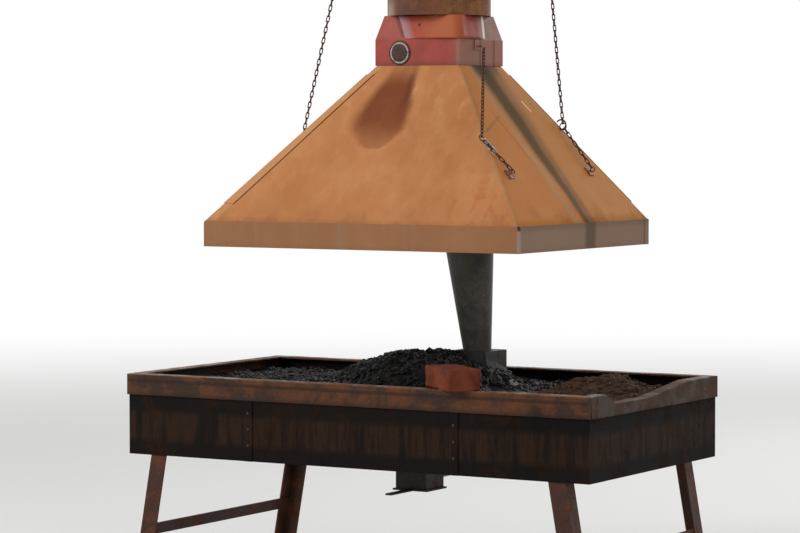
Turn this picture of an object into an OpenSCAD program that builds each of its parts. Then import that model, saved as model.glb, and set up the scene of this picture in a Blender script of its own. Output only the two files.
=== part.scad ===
// Blacksmith's coal forge: a raised hearth under a sheet-metal smoke hood hung on chains.
// Millimetres, +Z up, +X to the right, front face towards -Y.
// The origin is on the floor, under the centre of the hood.

/* [Hood] */
// Width of the hood over its skirt, left to right
hood_w = 1220; // [900:5:1500]
// Depth of the hood over its skirt, front to back
hood_d = 955; // [800:5:1300]
// Height of the upright skirt round the bottom of the hood
skirt_h = 88; // [50:1:140]
// Height of the lower edge of the skirt above the floor
skirt_z = 1230; // [1130:5:1350]
// Rise of the sloping part of the hood
hood_rise = 530; // [400:5:650]
// Thickness of the hood's sheet
sheet = 2; // [1.5:0.1:3]
// Width of the folded flange that laps over a hip of the hood
hip_lap_w = 30; // [15:1:50]
// Width of the skirt's corner laps on the side sheets, front corners
corner_lap = 17; // [10:1:40]
// Width of the skirt's corner laps on the side sheets, back corners
corner_lap_back = 32; // [10:1:50]
// Depth of the stiffening hem folded inside the skirt's lower edge
hem_h = 14; // [8:1:30]

/* [Collar] */
// Width of the collar's upright band
collar_w = 332; // [280:1:420]
// Depth of the collar's upright band
collar_d = 300; // [270:1:400]
// Height of the collar's upright band
band_h = 88; // [50:1:140]
// Height of the tapered part above the band
taper_h = 83; // [50:1:140]
// Inset of the tapered part at its top, on each side
taper_in = 23; // [10:1:40]
// Offset of the collar from the middle of the hood, to the right
collar_x = 32; // [-60:1:60]
// Offset of the collar from the middle of the hood, to the back
collar_y = 18; // [-60:1:60]
// Length of the hood sheet that runs up inside the band
neck_lap = 22; // [10:1:40]
// Diameter of the plain round disc on the front of the band
disc_dia = 84; // [50:1:85]

/* [Flue] */
// Outside diameter of the flue pipe
flue_dia = 356; // [280:1:400]
// Thickness of the flue's sheet
flue_wall = 2; // [1.5:0.1:4]
// Height of the top end of the flue above the floor
flue_top = 3000; // [2700:10:3400]
// Height of the joint between the two lengths of pipe above the floor
flue_joint = 2560; // [2300:10:2640]
// Height of the swaged top end that the next length of pipe slips over
spigot_h = 60; // [30:5:100]

/* [Chains] */
// Diameter of the wire of a chain link
wire_dia = 4; // [3:0.5:6]
// Pitch of the chain links
link_pitch = 19; // [16:0.5:30]
// Height of the ceiling plates that carry the chains
ceiling_z = 3000; // [2700:10:3400]

/* [Hearth] */
// Length of the hearth, left to right
hearth_w = 1800; // [1500:10:2200]
// Depth of the hearth, front to back
hearth_d = 960; // [900:10:1300]
// Shift of the hearth's middle from the hood's middle, to the back
hearth_y = -50; // [-150:5:50]
// Height of the rim's top face above the floor
rim_z = 785; // [700:5:900]
// Height of the rim's outer face
rim_h = 72; // [40:1:100]
// Width of the rim's top face
rim_w = 46; // [35:1:80]
// Thickness of the rim's angle iron
rim_t = 6; // [4:0.5:10]
// Depth of the sheet body below the rim
body_h = 206; // [150:1:260]
// Thickness of the body's plates
plate = 4; // [3:0.5:8]
// Depth of the bed plate below the rim's top face
bed_drop = 80; // [50:1:120]
// Depth of the dip in the right rim, where long bars lie
dip_h = 34; // [10:1:45]

/* [Legs] */
// Width of each flange of the angle-iron legs
leg_w = 60; // [40:1:80]
// Thickness of the legs
leg_t = 6; // [4:0.5:10]
// Distance of the legs from the hearth's ends, at the top
leg_inset = 130; // [80:5:260]
// Lean of the legs outwards, in degrees
leg_lean = 10; // [0:0.5:12]
// Side of the square foot plates
foot_w = 100; // [80:5:160]
// Thickness of the foot plates
foot_t = 8; // [5:0.5:15]

/* [Fire] */
// Side of the square opening of the fire pot
pot_w = 260; // [200:5:320]
// Depth of the fire pot
pot_h = 95; // [70:5:110]
// Wall of the fire pot
pot_t = 10; // [8:1:16]
// Outside diameter of the air pipe
air_dia = 76; // [50:1:90]
// Wall of the air pipe
air_wall = 3; // [2:0.5:5]
// Height of the mound of coal above the bed plate
coal_h = 170; // [90:5:180]
// Outside diameter of the draught pipe at its foot
draught_foot = 98; // [80:1:120]
// Outside diameter of the draught pipe at its top
draught_head = 222; // [150:1:240]
// Length of the draught pipe
draught_len = 640; // [500:5:700]

/* [Hidden] */

// Running clearance between pieces that are set in or hung
gap = 0.3;
// Overshoot of a cut past the face that it opens
over = 1;
// Facets round large pieces, small pieces and wire
fine = 96;
small = 24;
wire_fine = 13;

// Hood heights
slope_z = skirt_z + skirt_h;
band_z = slope_z + hood_rise;
taper_z = band_z + band_h;
flue_z = taper_z + taper_h;
neck_z = band_z + neck_lap;

// Run of each sloping face from the skirt to the foot of the band
run_left = hood_w / 2 + collar_x - (collar_w / 2 - sheet);
run_right = hood_w / 2 - collar_x - (collar_w / 2 - sheet);
run_front = hood_d / 2 + collar_y - (collar_d / 2 - sheet);
run_back = hood_d / 2 - collar_y - (collar_d / 2 - sheet);

// Level thickness of a sheet on a slope with this run
function level_t(run, t = sheet) = t * sqrt(1 + pow(run / hood_rise, 2));
// Place of each sloping face at a height
function x_left(z) = -hood_w / 2 + run_left * (z - slope_z) / hood_rise;
function x_right(z) = hood_w / 2 - run_right * (z - slope_z) / hood_rise;
function y_front(z) = -hood_d / 2 + run_front * (z - slope_z) / hood_rise;
function y_back(z) = hood_d / 2 - run_back * (z - slope_z) / hood_rise;

rust = "#9a6a44";
dark_rust = "#5b4436";
faded_red = "#a05048";
grey_zinc = "#7f8478";

// Stands a drawing of the XZ plane up, so that it runs from y0 to y1
module xz_prism(y0, y1) {
    translate([0, y1, 0]) rotate([90, 0, 0]) linear_extrude(height = y1 - y0) children();
}

// Stands a drawing of the YZ plane up, so that it runs from x0 to x1
module yz_prism(x0, x1) {
    translate([x0, 0, 0]) rotate([90, 0, 90]) linear_extrude(height = x1 - x0) children();
}

// Hood slopes

// The hood's outline from the front, between two heights, drawn in by an inset on each side
module front_outline(z0, z1, inset_left = 0, inset_right = 0) {
    polygon([
        [x_left(z0) + inset_left, z0],
        [x_right(z0) - inset_right, z0],
        [x_right(z1) - inset_right, z1],
        [x_left(z1) + inset_left, z1]
    ]);
}

// The hood's outline from the side, inside the front and back sheets
module side_outline(z0, z1) {
    polygon([
        [y_front(z0) + level_t(run_front), z0],
        [y_back(z0) - level_t(run_back), z0],
        [y_back(z1) - level_t(run_back), z1],
        [y_front(z1) + level_t(run_front), z1]
    ]);
}

module hood_front() {
    t = level_t(run_front);
    color(rust) intersection() {
        yz_prism(-hood_w, hood_w) polygon([
            [y_front(slope_z), slope_z], [y_front(slope_z) + t, slope_z],
            [y_front(neck_z) + t, neck_z], [y_front(neck_z), neck_z]
        ]);
        xz_prism(-hood_d, hood_d) front_outline(slope_z, neck_z);
    }
}

module hood_back() {
    t = level_t(run_back);
    color(rust) intersection() {
        yz_prism(-hood_w, hood_w) polygon([
            [y_back(slope_z), slope_z], [y_back(slope_z) - t, slope_z],
            [y_back(neck_z) - t, neck_z], [y_back(neck_z), neck_z]
        ]);
        xz_prism(-hood_d, hood_d) front_outline(slope_z, neck_z);
    }
}

module hood_left() {
    t = level_t(run_left);
    color(rust) intersection() {
        xz_prism(-hood_d, hood_d) polygon([
            [x_left(slope_z), slope_z], [x_left(slope_z) + t, slope_z],
            [x_left(neck_z) + t, neck_z], [x_left(neck_z), neck_z]
        ]);
        yz_prism(-hood_w, hood_w) side_outline(slope_z, neck_z);
    }
}

module hood_right() {
    t = level_t(run_right);
    color(rust) intersection() {
        xz_prism(-hood_d, hood_d) polygon([
            [x_right(slope_z), slope_z], [x_right(slope_z) - t, slope_z],
            [x_right(neck_z) - t, neck_z], [x_right(neck_z), neck_z]
        ]);
        yz_prism(-hood_w, hood_w) side_outline(slope_z, neck_z);
    }
}

// Ends of a hip lap, below the band and above the skirt
lap_top_z = band_z - 30;
lap_foot_z = slope_z + 60;
// Width of a lap at its foot
lap_foot_w = 1.4 * hip_lap_w;

// The side sheets' flanges, folded over the front sheet on the left and the back sheet on the right
module hip_laps() {
    t_front = level_t(run_front);
    t_back = level_t(run_back);
    color(rust) {
        intersection() {
            yz_prism(-hood_w, hood_w) polygon([
                [y_front(slope_z) - t_front, slope_z], [y_front(slope_z), slope_z],
                [y_front(band_z), band_z], [y_front(band_z) - t_front, band_z]
            ]);
            xz_prism(-hood_d, hood_d) polygon([
                [x_left(lap_foot_z), lap_foot_z],
                [x_left(lap_top_z), lap_top_z],
                [x_left(lap_top_z) + hip_lap_w, lap_top_z],
                [x_left(lap_foot_z) + lap_foot_w, lap_foot_z]
            ]);
        }
        intersection() {
            yz_prism(-hood_w, hood_w) polygon([
                [y_back(slope_z) + t_back, slope_z], [y_back(slope_z), slope_z],
                [y_back(band_z), band_z], [y_back(band_z) + t_back, band_z]
            ]);
            xz_prism(-hood_d, hood_d) polygon([
                [x_right(lap_foot_z), lap_foot_z],
                [x_right(lap_top_z), lap_top_z],
                [x_right(lap_top_z) - hip_lap_w, lap_top_z],
                [x_right(lap_foot_z) - lap_foot_w, lap_foot_z]
            ]);
        }
    }
}

// Skirt

// Size of the snipped notch at the top of a front corner
notch = 10;

// One long skirt sheet with a hem and with its ends bent round the corners
module skirt_long(lap, snip) {
    difference() {
        union() {
            translate([-hood_w / 2, -hood_d / 2, skirt_z]) cube([hood_w, sheet, skirt_h]);
            translate([-hood_w / 2 + sheet, -hood_d / 2 + sheet, skirt_z])
                cube([hood_w - 2 * sheet, sheet, hem_h]);
            for (side = [0, 1]) mirror([side, 0, 0])
                translate([hood_w / 2, -hood_d / 2, skirt_z]) cube([sheet, lap, skirt_h]);
        }
        if (snip) for (side = [0, 1]) mirror([side, 0, 0])
            xz_prism(-hood_d / 2 - sheet, -hood_d / 2 + lap + sheet) polygon([
                [hood_w / 2 + 2 * sheet, slope_z + sheet],
                [hood_w / 2 - sheet, slope_z + sheet],
                [hood_w / 2 - sheet, slope_z],
                [hood_w / 2 + 2 * sheet, slope_z - notch]
            ]);
    }
}

// One side skirt sheet with its hem, between the long sheets
module skirt_side() {
    translate([hood_w / 2 - sheet, -hood_d / 2 + sheet, skirt_z])
        cube([sheet, hood_d - 2 * sheet, skirt_h]);
    translate([hood_w / 2 - 2 * sheet, -hood_d / 2 + 2 * sheet, skirt_z])
        cube([sheet, hood_d - 4 * sheet, hem_h]);
}

module skirt_front() { color(rust) skirt_long(corner_lap, true); }
module skirt_back() { color(rust) rotate([0, 0, 180]) skirt_long(corner_lap_back, false); }
module skirt_right() { color(rust) skirt_side(); }
module skirt_left() { color(rust) mirror([1, 0, 0]) skirt_side(); }

// Collar

// Width of the overlap seam on the right side of the band
band_seam = 60;

module collar_band() {
    color(faded_red) translate([collar_x, collar_y, band_z]) {
        linear_extrude(height = band_h) difference() {
            square([collar_w, collar_d], center = true);
            square([collar_w - 2 * sheet, collar_d - 2 * sheet], center = true);
        }
        translate([collar_w / 2, collar_d / 2 - band_seam, 0]) cube([sheet, band_seam, band_h]);
    }
}

// A plan rectangle of the taper at a height above the band, drawn in by an inset
function taper_plan(z, inset) =
    let (s = taper_in * z / taper_h + inset)
    [collar_w / 2 - s, collar_d / 2 - s];

// A four-sided frustum through two plan rectangles
module frustum(a, za, b, zb) {
    polyhedron(
        points = [
            [-a[0], -a[1], za], [a[0], -a[1], za], [a[0], a[1], za], [-a[0], a[1], za],
            [-b[0], -b[1], zb], [b[0], -b[1], zb], [b[0], b[1], zb], [-b[0], b[1], zb]
        ],
        faces = [[0, 1, 2, 3], [7, 6, 5, 4], [4, 5, 1, 0], [5, 6, 2, 1], [6, 7, 3, 2], [7, 4, 0, 3]]
    );
}

// Level thickness of the tapered sheets
taper_t = sheet * sqrt(1 + pow(taper_in / taper_h, 2));
// Width of the flat seat that the flue stands on
flue_seat = 40;

module collar_taper() {
    color(faded_red) translate([collar_x, collar_y, taper_z]) {
        difference() {
            frustum(taper_plan(0, 0), 0, taper_plan(taper_h, 0), taper_h);
            frustum(taper_plan(-over, taper_t), -over, taper_plan(taper_h - sheet, taper_t), taper_h - sheet);
            cylinder(d = flue_dia - 2 * (flue_wall + flue_seat), h = taper_h * 2, $fn = fine);
        }
    }
}

// Left edge of the loose patch sheet at the foot and at the head of the taper
patch_left_foot = -45;
patch_left_head = -84;
// Distance of the centre of the patch's bend from both faces that it goes round
patch_bend = 20;
// Length of the patch on the right face
patch_reach = 62;
patch_steps = 8;
// Height of the patch's lower edge above the band
patch_rise = 3;

// Points of the patch's inner face at one height, from its left edge round the corner
function patch_line(left, half_w, half_d, off) = concat(
    [[left, -half_d - off]],
    [for (i = [0:patch_steps])
        let (a = 90 * i / patch_steps, r = patch_bend * sqrt(2) + off)
        [half_w - patch_bend + r * sin(a), -half_d + patch_bend - r * cos(a)]],
    [[half_w + off, -half_d + patch_reach]]
);

// A sheet lofted between two plan lines of equally many points
module sheet_loft(inner0, outer0, z0, inner1, outer1, z1) {
    n = len(inner0);
    lift = function (line, z) [for (p = line) [p[0], p[1], z]];
    pts = concat(lift(inner0, z0), lift(outer0, z0), lift(inner1, z1), lift(outer1, z1));
    quad = function (a, b, c, d) [[a, b, c, d]];
    faces = concat(
        [for (i = [0:n - 2]) [i, n + i, n + i + 1, i + 1]],
        [for (i = [0:n - 2]) [2 * n + i, 2 * n + i + 1, 3 * n + i + 1, 3 * n + i]],
        [for (i = [0:n - 2]) [i, i + 1, 2 * n + i + 1, 2 * n + i]],
        [for (i = [0:n - 2]) [n + i, 3 * n + i, 3 * n + i + 1, n + i + 1]],
        quad(0, 2 * n, 3 * n, n),
        quad(n - 1, 2 * n - 1, 4 * n - 1, 3 * n - 1)
    );
    polyhedron(points = pts, faces = faces, convexity = 4);
}

module collar_patch() {
    foot = taper_plan(patch_rise, 0);
    head = taper_plan(taper_h - gap, 0);
    color(faded_red) translate([collar_x, collar_y, taper_z]) sheet_loft(
        patch_line(patch_left_foot, foot[0], foot[1], gap),
        patch_line(patch_left_foot, foot[0], foot[1], gap + sheet), patch_rise,
        patch_line(patch_left_head, head[0], head[1], gap),
        patch_line(patch_left_head, head[0], head[1], gap + sheet), taper_h - gap
    );
}

// Place of the plain disc's middle, from the middle of the collar and from the band's lower edge
disc_x = -68;
disc_z = 43;
// Thickness of the disc at its middle, and height and width of its bevelled edge
disc_t = 5.5;
disc_edge_h = 2;
disc_edge_w = 3;

module collar_disc() {
    color("#3a2f2c") translate([collar_x + disc_x, collar_y - collar_d / 2, band_z + disc_z])
        rotate([90, 0, 0]) rotate_extrude($fn = fine) polygon([
            [0, 0], [disc_dia / 2, 0], [disc_dia / 2, disc_edge_h],
            [disc_dia / 2 - disc_edge_w, disc_edge_h + disc_edge_w / 2], [disc_dia / 4, disc_t], [0, disc_t]
        ]);
}

// Flue

// Reach of the joint band over each length of pipe
flue_lap = 40;
// How far the swaged top end is drawn in
spigot_in = 1;

module flue_tube(d, z0, z1) {
    translate([collar_x, collar_y, z0]) difference() {
        cylinder(d = d, h = z1 - z0, $fn = fine);
        translate([0, 0, -over]) cylinder(d = d - 2 * flue_wall, h = z1 - z0 + 2 * over, $fn = fine);
    }
}

module flue_lower() { color(rust) flue_tube(flue_dia, flue_z, flue_joint); }

// The upper length, with its swaged top end
module flue_upper() {
    outside = flue_dia / 2;
    inside = outside - flue_wall;
    shoulder = flue_top - spigot_h;
    color(rust) translate([collar_x, collar_y, 0]) rotate_extrude($fn = fine) polygon([
        [inside, flue_joint], [outside, flue_joint], [outside, shoulder],
        [outside - spigot_in, shoulder], [outside - spigot_in, flue_top],
        [inside - spigot_in, flue_top], [inside - spigot_in, shoulder - flue_wall],
        [inside, shoulder - flue_wall]
    ]);
}

module flue_joint_band() {
    color(rust) flue_tube(flue_dia + 2 * (flue_wall + gap), flue_joint - flue_lap, flue_joint + flue_lap);
}

// Chains

// Inside length and half the inside width of a link
link_in = link_pitch + gap;
link_half = wire_dia * 0.65;

// One link, lying along X in the XY plane, with its middle on the origin
module link() {
    straight = link_in / 2 - link_half;
    bend = link_half + wire_dia / 2;
    for (side = [0, 1]) mirror([side, 0, 0]) translate([straight, 0, 0])
        rotate([0, 0, -90]) rotate_extrude(angle = 180, $fn = small)
            translate([bend, 0]) circle(d = wire_dia, $fn = wire_fine);
    for (side = [-1, 1]) translate([-straight, side * bend, 0]) rotate([0, 90, 0])
        cylinder(d = wire_dia, h = 2 * straight, $fn = wire_fine);
}

function unit(v) = v / norm(v);

// Sets a piece down at a place with its X axis along u and its Y axis along v
module along(place, u, v) {
    w = cross(u, v);
    multmatrix([
        [u[0], v[0], w[0], place[0]],
        [u[1], v[1], w[1], place[1]],
        [u[2], v[2], w[2], place[2]],
        [0, 0, 0, 1]
    ]) children();
}

// A taut run of links from its first contact point, the first link lying in the plane of u and v
module chain_run(start, u, v, count) {
    w = cross(u, v);
    for (i = [0:count - 1])
        along(start + u * link_pitch * (i + 0.5), u, i % 2 == 0 ? v : w) link();
}

// A plain ring of the chain's wire, lying in the plane of u and v
module wire_ring(place, u, v, radius) {
    along(place, u, v) rotate_extrude($fn = 32) translate([radius, 0]) circle(d = wire_dia, $fn = wire_fine);
}

// Wire-centre radius of the lifting eyes and of the joining rings
eye_r = 8;
ring_r = 12;
// From a ring's wire centre to the contact point of the next link
hook_back = (gap + wire_dia) / 2;
// Distance of an eye's centre from the sheet below it, so that the joining ring clears the sheet
eye_stand = ring_r + wire_dia / 2 + over;
// Width and thickness of the pad below each eye, and diameter of the stem that carries it
pad_w = 34;
pad_t = 4;
stem_dia = 6;

// Height of the eyes above the skirt's foot, and drop of the long chains' ends from the ceiling
eye_up = 254;
anchor_drop = 30;
eye_z = skirt_z + eye_up;
anchor_z = ceiling_z - anchor_drop;
// Places front to back of the two front eyes and of the back eyes
left_eye_y = -240;
right_eye_y = -296;
back_eye_y = 280;
// Where the front left chain and the back chains meet the ceiling
left_top_x = -5;
left_top_y = -250;
back_top_x = 233;
back_top_y = 300;
// Place of the lug's eye: out from the collar's side, in front of its middle and below its top
lug_out = 15;
lug_forward = 8;
lug_drop = 6;

// Corners: side of the hood, place of the eye front to back, links in the short chain, its lean
// to the back, and the point that the long chain runs to
front_left = [-1, left_eye_y, 7, 0.12, [left_top_x, left_top_y, anchor_z]];
front_right = [1, right_eye_y, 7, -0.42,
    [collar_x + collar_w / 2 + lug_out, collar_y - lug_forward, taper_z - lug_drop]];
back_left = [-1, back_eye_y, 9, 0, [-back_top_x, back_top_y, anchor_z]];
back_right = [1, back_eye_y, 9, 0, [back_top_x, back_top_y, anchor_z]];
corners = [front_left, front_right, back_left, back_right];

function side_run(c) = c[0] > 0 ? run_right : run_left;
function sheet_x(c) = c[0] > 0 ? x_right(eye_z) : x_left(eye_z);
// Direction out of the sloping sheet at a corner
function out_dir(c) = unit([c[0] * hood_rise, 0, side_run(c)]);
// Direction of the short chain, up along the sheet
function tail_dir(c) = unit(unit([-c[0] * side_run(c), 0, hood_rise]) + [0, c[3], 0]);
function eye_at(c) = [sheet_x(c), c[1], eye_z] + eye_stand * out_dir(c);
function ring_at(c) =
    eye_at(c) + tail_dir(c) * (eye_r + ring_r - 2 * hook_back + c[2] * link_pitch);
// Direction of the long chain, and the level direction square to both chains
function long_dir(c) = unit(c[4] - ring_at(c));
function side_dir(c) = unit(cross(tail_dir(c), long_dir(c)));
// Odd number of links in the long chain
function long_count(c) =
    2 * floor((norm(c[4] - ring_at(c)) - ring_r - eye_r + 2 * hook_back) / link_pitch / 2) - 1;
function long_end(c) =
    ring_at(c) + long_dir(c) * (ring_r + eye_r - 2 * hook_back + long_count(c) * link_pitch);

// Point of a ring's wire that lies nearest to a face, whose outward direction is given
function root_of(place, n, u, v) =
    let (down = unit(-n + (n * cross(u, v)) * cross(u, v))) place + eye_r * down;
function eye_root(c) = root_of(eye_at(c), out_dir(c), tail_dir(c), cross(tail_dir(c), side_dir(c)));
function eye_rise(c) = (eye_root(c) - [sheet_x(c), c[1], eye_z]) * out_dir(c);

module hood_eyes() {
    color(dark_rust) for (c = corners) {
        wire_ring(eye_at(c), tail_dir(c), cross(tail_dir(c), side_dir(c)), eye_r);
        along(eye_root(c) - eye_rise(c) * out_dir(c), out_dir(c), [0, 1, 0]) {
            translate([0, -pad_w / 2, -pad_w / 2]) cube([pad_t, pad_w, pad_w]);
            rotate([0, 90, 0]) cylinder(d = stem_dia, h = eye_rise(c), $fn = small);
        }
    }
}

// The short chains and the rings that join them to the long chains
module chain_tails() {
    color(dark_rust) for (c = corners) {
        chain_run(eye_at(c) + tail_dir(c) * (eye_r - hook_back), tail_dir(c), side_dir(c), c[2]);
        wire_ring(ring_at(c), tail_dir(c), cross(tail_dir(c), side_dir(c)), ring_r);
    }
}

module long_chain(c) {
    color(dark_rust)
        chain_run(ring_at(c) + long_dir(c) * (ring_r - hook_back), long_dir(c), side_dir(c), long_count(c));
}

module chain_front_left() { long_chain(front_left); }
module chain_front_right() { long_chain(front_right); }
module chain_back_left() { long_chain(back_left); }
module chain_back_right() { long_chain(back_right); }

// Ceiling plates and the shanks below them
ceiling_plate_w = 90;
ceiling_plate_t = 6;
shank_dia = 8;

module ceiling_eyes() {
    color(dark_rust) for (c = [front_left, back_left, back_right]) {
        e = long_end(c);
        top = e + eye_r * long_dir(c) - [0, 0, wire_dia / 4];
        wire_ring(e, long_dir(c), cross(long_dir(c), side_dir(c)), eye_r);
        translate(top) cylinder(d = shank_dia, h = ceiling_z - ceiling_plate_t / 2 - top[2], $fn = small);
        translate([top[0] - ceiling_plate_w / 2, top[1] - ceiling_plate_w / 2, ceiling_z - ceiling_plate_t])
            cube([ceiling_plate_w, ceiling_plate_w, ceiling_plate_t]);
    }
}

// Lug on the right side of the band and taper, where the slack corner's chain is hooked up
module collar_lug() {
    e = long_end(front_right);
    u = long_dir(front_right);
    v = cross(u, side_dir(front_right));
    root = root_of(e, [1, 0, 0], u, v);
    face = collar_x + collar_w / 2;
    color(dark_rust) {
        wire_ring(e, u, v, eye_r);
        translate([face, root[1], root[2]]) rotate([0, 90, 0])
            cylinder(d = stem_dia, h = root[0] - face, $fn = small);
        translate([face, root[1] - pad_w / 2, taper_z - pad_w]) cube([pad_t, pad_w, pad_w]);
    }
}

// Hearth

hearth_front = hearth_y - hearth_d / 2;
hearth_back = hearth_y + hearth_d / 2;
bed_z = rim_z - bed_drop;
body_top = rim_z - rim_t;
side_top = rim_z - dip_h - rim_t;
body_foot = rim_z - rim_h - body_h;
// Inner faces of the body
inner_x = hearth_w / 2 - rim_t - plate;
inner_front = hearth_front + rim_t + plate;
inner_back = hearth_back - rim_t - plate;

// Stretches of the right rim, front to back: up to the dip, down into it, along it and out of it
dip_inset = 110;
dip_fall = 70;
dip_flat = 250;
dip_climb = 305;
dip_start = hearth_front + dip_inset;
dip_flat_start = dip_start + dip_fall;
dip_flat_end = dip_flat_start + dip_flat;
dip_end = dip_flat_end + dip_climb;

module rim_long() {
    yz_prism(-hearth_w / 2, hearth_w / 2) polygon([
        [hearth_front, rim_z - rim_h], [hearth_front + rim_t, rim_z - rim_h],
        [hearth_front + rim_t, rim_z - rim_t], [hearth_front + rim_w, rim_z - rim_t],
        [hearth_front + rim_w, rim_z], [hearth_front, rim_z]
    ]);
}

module rim_front() { color(rust) rim_long(); }
module rim_back() { color(rust) translate([0, 2 * hearth_y, 0]) mirror([0, 1, 0]) rim_long(); }

module rim_left() {
    color(rust) {
        translate([-hearth_w / 2, hearth_front + rim_w, rim_z - rim_t])
            cube([rim_w, hearth_d - 2 * rim_w, rim_t]);
        translate([-hearth_w / 2, hearth_front + rim_t, rim_z - rim_h])
            cube([rim_t, hearth_d - 2 * rim_t, rim_h - rim_t]);
    }
}

// Line of the dipped rim's top face, front to back
dip_line = [
    [hearth_front + rim_w, rim_z], [dip_start, rim_z], [dip_flat_start, rim_z - dip_h],
    [dip_flat_end, rim_z - dip_h], [dip_end, rim_z], [hearth_back - rim_w, rim_z]
];
function lowered(line, drop) = [for (p = line) [p[0], p[1] - drop]];
function reversed(line) = [for (i = [len(line) - 1:-1:0]) line[i]];

module rim_right() {
    color(rust) {
        yz_prism(hearth_w / 2 - rim_w, hearth_w / 2)
            polygon(concat(dip_line, reversed(lowered(dip_line, rim_t))));
        yz_prism(hearth_w / 2 - rim_t, hearth_w / 2) polygon(concat(
            [[hearth_front + rim_t, rim_z - rim_t]], lowered(dip_line, rim_t),
            [[hearth_back - rim_t, rim_z - rim_t], [hearth_back - rim_t, rim_z - rim_h],
             [hearth_front + rim_t, rim_z - rim_h]]
        ));
    }
}

// Places and size of the cover straps over the body's seams
strap_x = 400;
strap_w = 32;
strap_t = 4;

module body_long() {
    translate([-hearth_w / 2 + rim_t, hearth_front + rim_t, body_foot])
        cube([hearth_w - 2 * rim_t, plate, body_top - body_foot]);
    for (x = [-strap_x, strap_x])
        translate([x - strap_w / 2, hearth_front + rim_t - strap_t, body_foot])
            cube([strap_w, strap_t, body_h - gap]);
}

module body_front() { color(dark_rust) body_long(); }
module body_back() { color(dark_rust) translate([0, 2 * hearth_y, 0]) mirror([0, 1, 0]) body_long(); }

module body_side() {
    translate([inner_x, inner_front, body_foot])
        cube([plate, inner_back - inner_front, side_top - body_foot]);
}

module body_right() { color(dark_rust) body_side(); }
module body_left() { color(dark_rust) mirror([1, 0, 0]) body_side(); }

// Middle of the fire
fire_x = 30;
fire_y = -110;

module bed_plate() {
    color(dark_rust) translate([0, 0, bed_z - plate]) linear_extrude(height = plate) difference() {
        translate([-inner_x, inner_front]) square([2 * inner_x, inner_back - inner_front]);
        translate([fire_x, fire_y]) square(pot_w, center = true);
    }
}

// Legs

leg_top = bed_z - plate;
leg_x = hearth_w / 2 - leg_inset;
leg_run = tan(leg_lean) * (leg_top - foot_t);
// Parts of the leg's height that the plain bar is drawn below and above its top, before it is cut
bar_below = 1.3;
bar_above = 0.2;

// Plan of an angle iron with its corner at the front right
module angle_plan() {
    polygon([[0, 0], [-leg_w, 0], [-leg_w, leg_t], [-leg_t, leg_t], [-leg_t, leg_w], [0, leg_w]]);
}

module leg() {
    intersection() {
        translate([leg_x, inner_front, leg_top]) rotate([0, -leg_lean, 0])
            translate([0, 0, -leg_top * bar_below])
                linear_extrude(height = leg_top * (bar_below + bar_above)) angle_plan();
        translate([0, hearth_front, foot_t]) cube([hearth_w, hearth_d, leg_top - foot_t]);
    }
}

module back_half() { translate([0, 2 * hearth_y, 0]) mirror([0, 1, 0]) children(); }

module leg_front_right() { color(rust) leg(); }
module leg_front_left() { color(rust) mirror([1, 0, 0]) leg(); }
module leg_back_right() { color(rust) back_half() leg(); }
module leg_back_left() { color(rust) mirror([1, 0, 0]) back_half() leg(); }

module foot_plates() {
    color(dark_rust) for (side = [0, 1]) for (row = [0, 1])
        mirror([side, 0, 0]) translate([0, row * 2 * hearth_y, 0]) mirror([0, row, 0])
            translate([leg_x + leg_run - leg_w / 2 - foot_w / 2, inner_front + leg_w / 2 - foot_w / 2, 0])
                cube([foot_w, foot_w, foot_t]);
}

// Height, width and thickness of the ties between the front and back legs
tie_z = 240;
tie_w = 40;
tie_t = 5;

module leg_ties() {
    shift = tan(leg_lean) * (leg_top - tie_z) - leg_t / cos(leg_lean);
    color(dark_rust) for (side = [0, 1]) mirror([side, 0, 0])
        translate([leg_x + shift, inner_front + leg_t, tie_z]) rotate([0, -leg_lean, 0])
            translate([-tie_t, 0, -tie_w / 2]) cube([tie_t, inner_back - inner_front - 2 * leg_t, tie_w]);
}

// Fire

// Width of the fire pot's foot, of its flange below the bed plate and of the hole in its foot
pot_foot_w = pot_w * 0.5;
pot_flange = 34;
pot_hole = 54;
// Width and wall of the air box below the fire pot
tuyere_w = 120;
tuyere_t = 8;
// Height of the air pipe's axis, and the top and foot of the air box
air_z = body_foot - air_dia / 2 - 8;
tuyere_top = bed_z - plate - pot_h;
tuyere_foot = air_z - air_dia / 2 - 20;
// Thickness and overhang of the sliding ash gate, and length and width of its handle
gate_t = 6;
gate_over = 8;
handle_len = 150;
handle_w = 24;

// A four-sided frustum between two squares
module square_frustum(w0, z0, w1, z1) { frustum([w0 / 2, w0 / 2], z0, [w1 / 2, w1 / 2], z1); }

module fire_pot() {
    color("#4a4644") translate([fire_x, fire_y, bed_z - plate]) difference() {
        union() {
            translate([0, 0, -pot_t / 2])
                cube([pot_w + 2 * pot_flange, pot_w + 2 * pot_flange, pot_t], center = true);
            square_frustum(pot_foot_w, -pot_h, pot_w + 2 * pot_t, 0);
        }
        square_frustum(pot_foot_w - 2 * pot_t, pot_t - pot_h, pot_w, 0.01);
        translate([0, 0, -pot_h - over]) cylinder(d = pot_hole, h = pot_h, $fn = fine);
    }
}

module tuyere_box() {
    color("#4a4644") translate([fire_x, fire_y, tuyere_foot]) difference() {
        translate([-tuyere_w / 2, -tuyere_w / 2, 0]) cube([tuyere_w, tuyere_w, tuyere_top - tuyere_foot]);
        translate([tuyere_t - tuyere_w / 2, tuyere_t - tuyere_w / 2, -over])
            cube([tuyere_w - 2 * tuyere_t, tuyere_w - 2 * tuyere_t, tuyere_top - tuyere_foot + 2 * over]);
        translate([0, 0, air_z - tuyere_foot]) rotate([-90, 0, 0])
            cylinder(d = air_dia - 2 * air_wall, h = tuyere_w, $fn = fine);
    }
}

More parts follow.
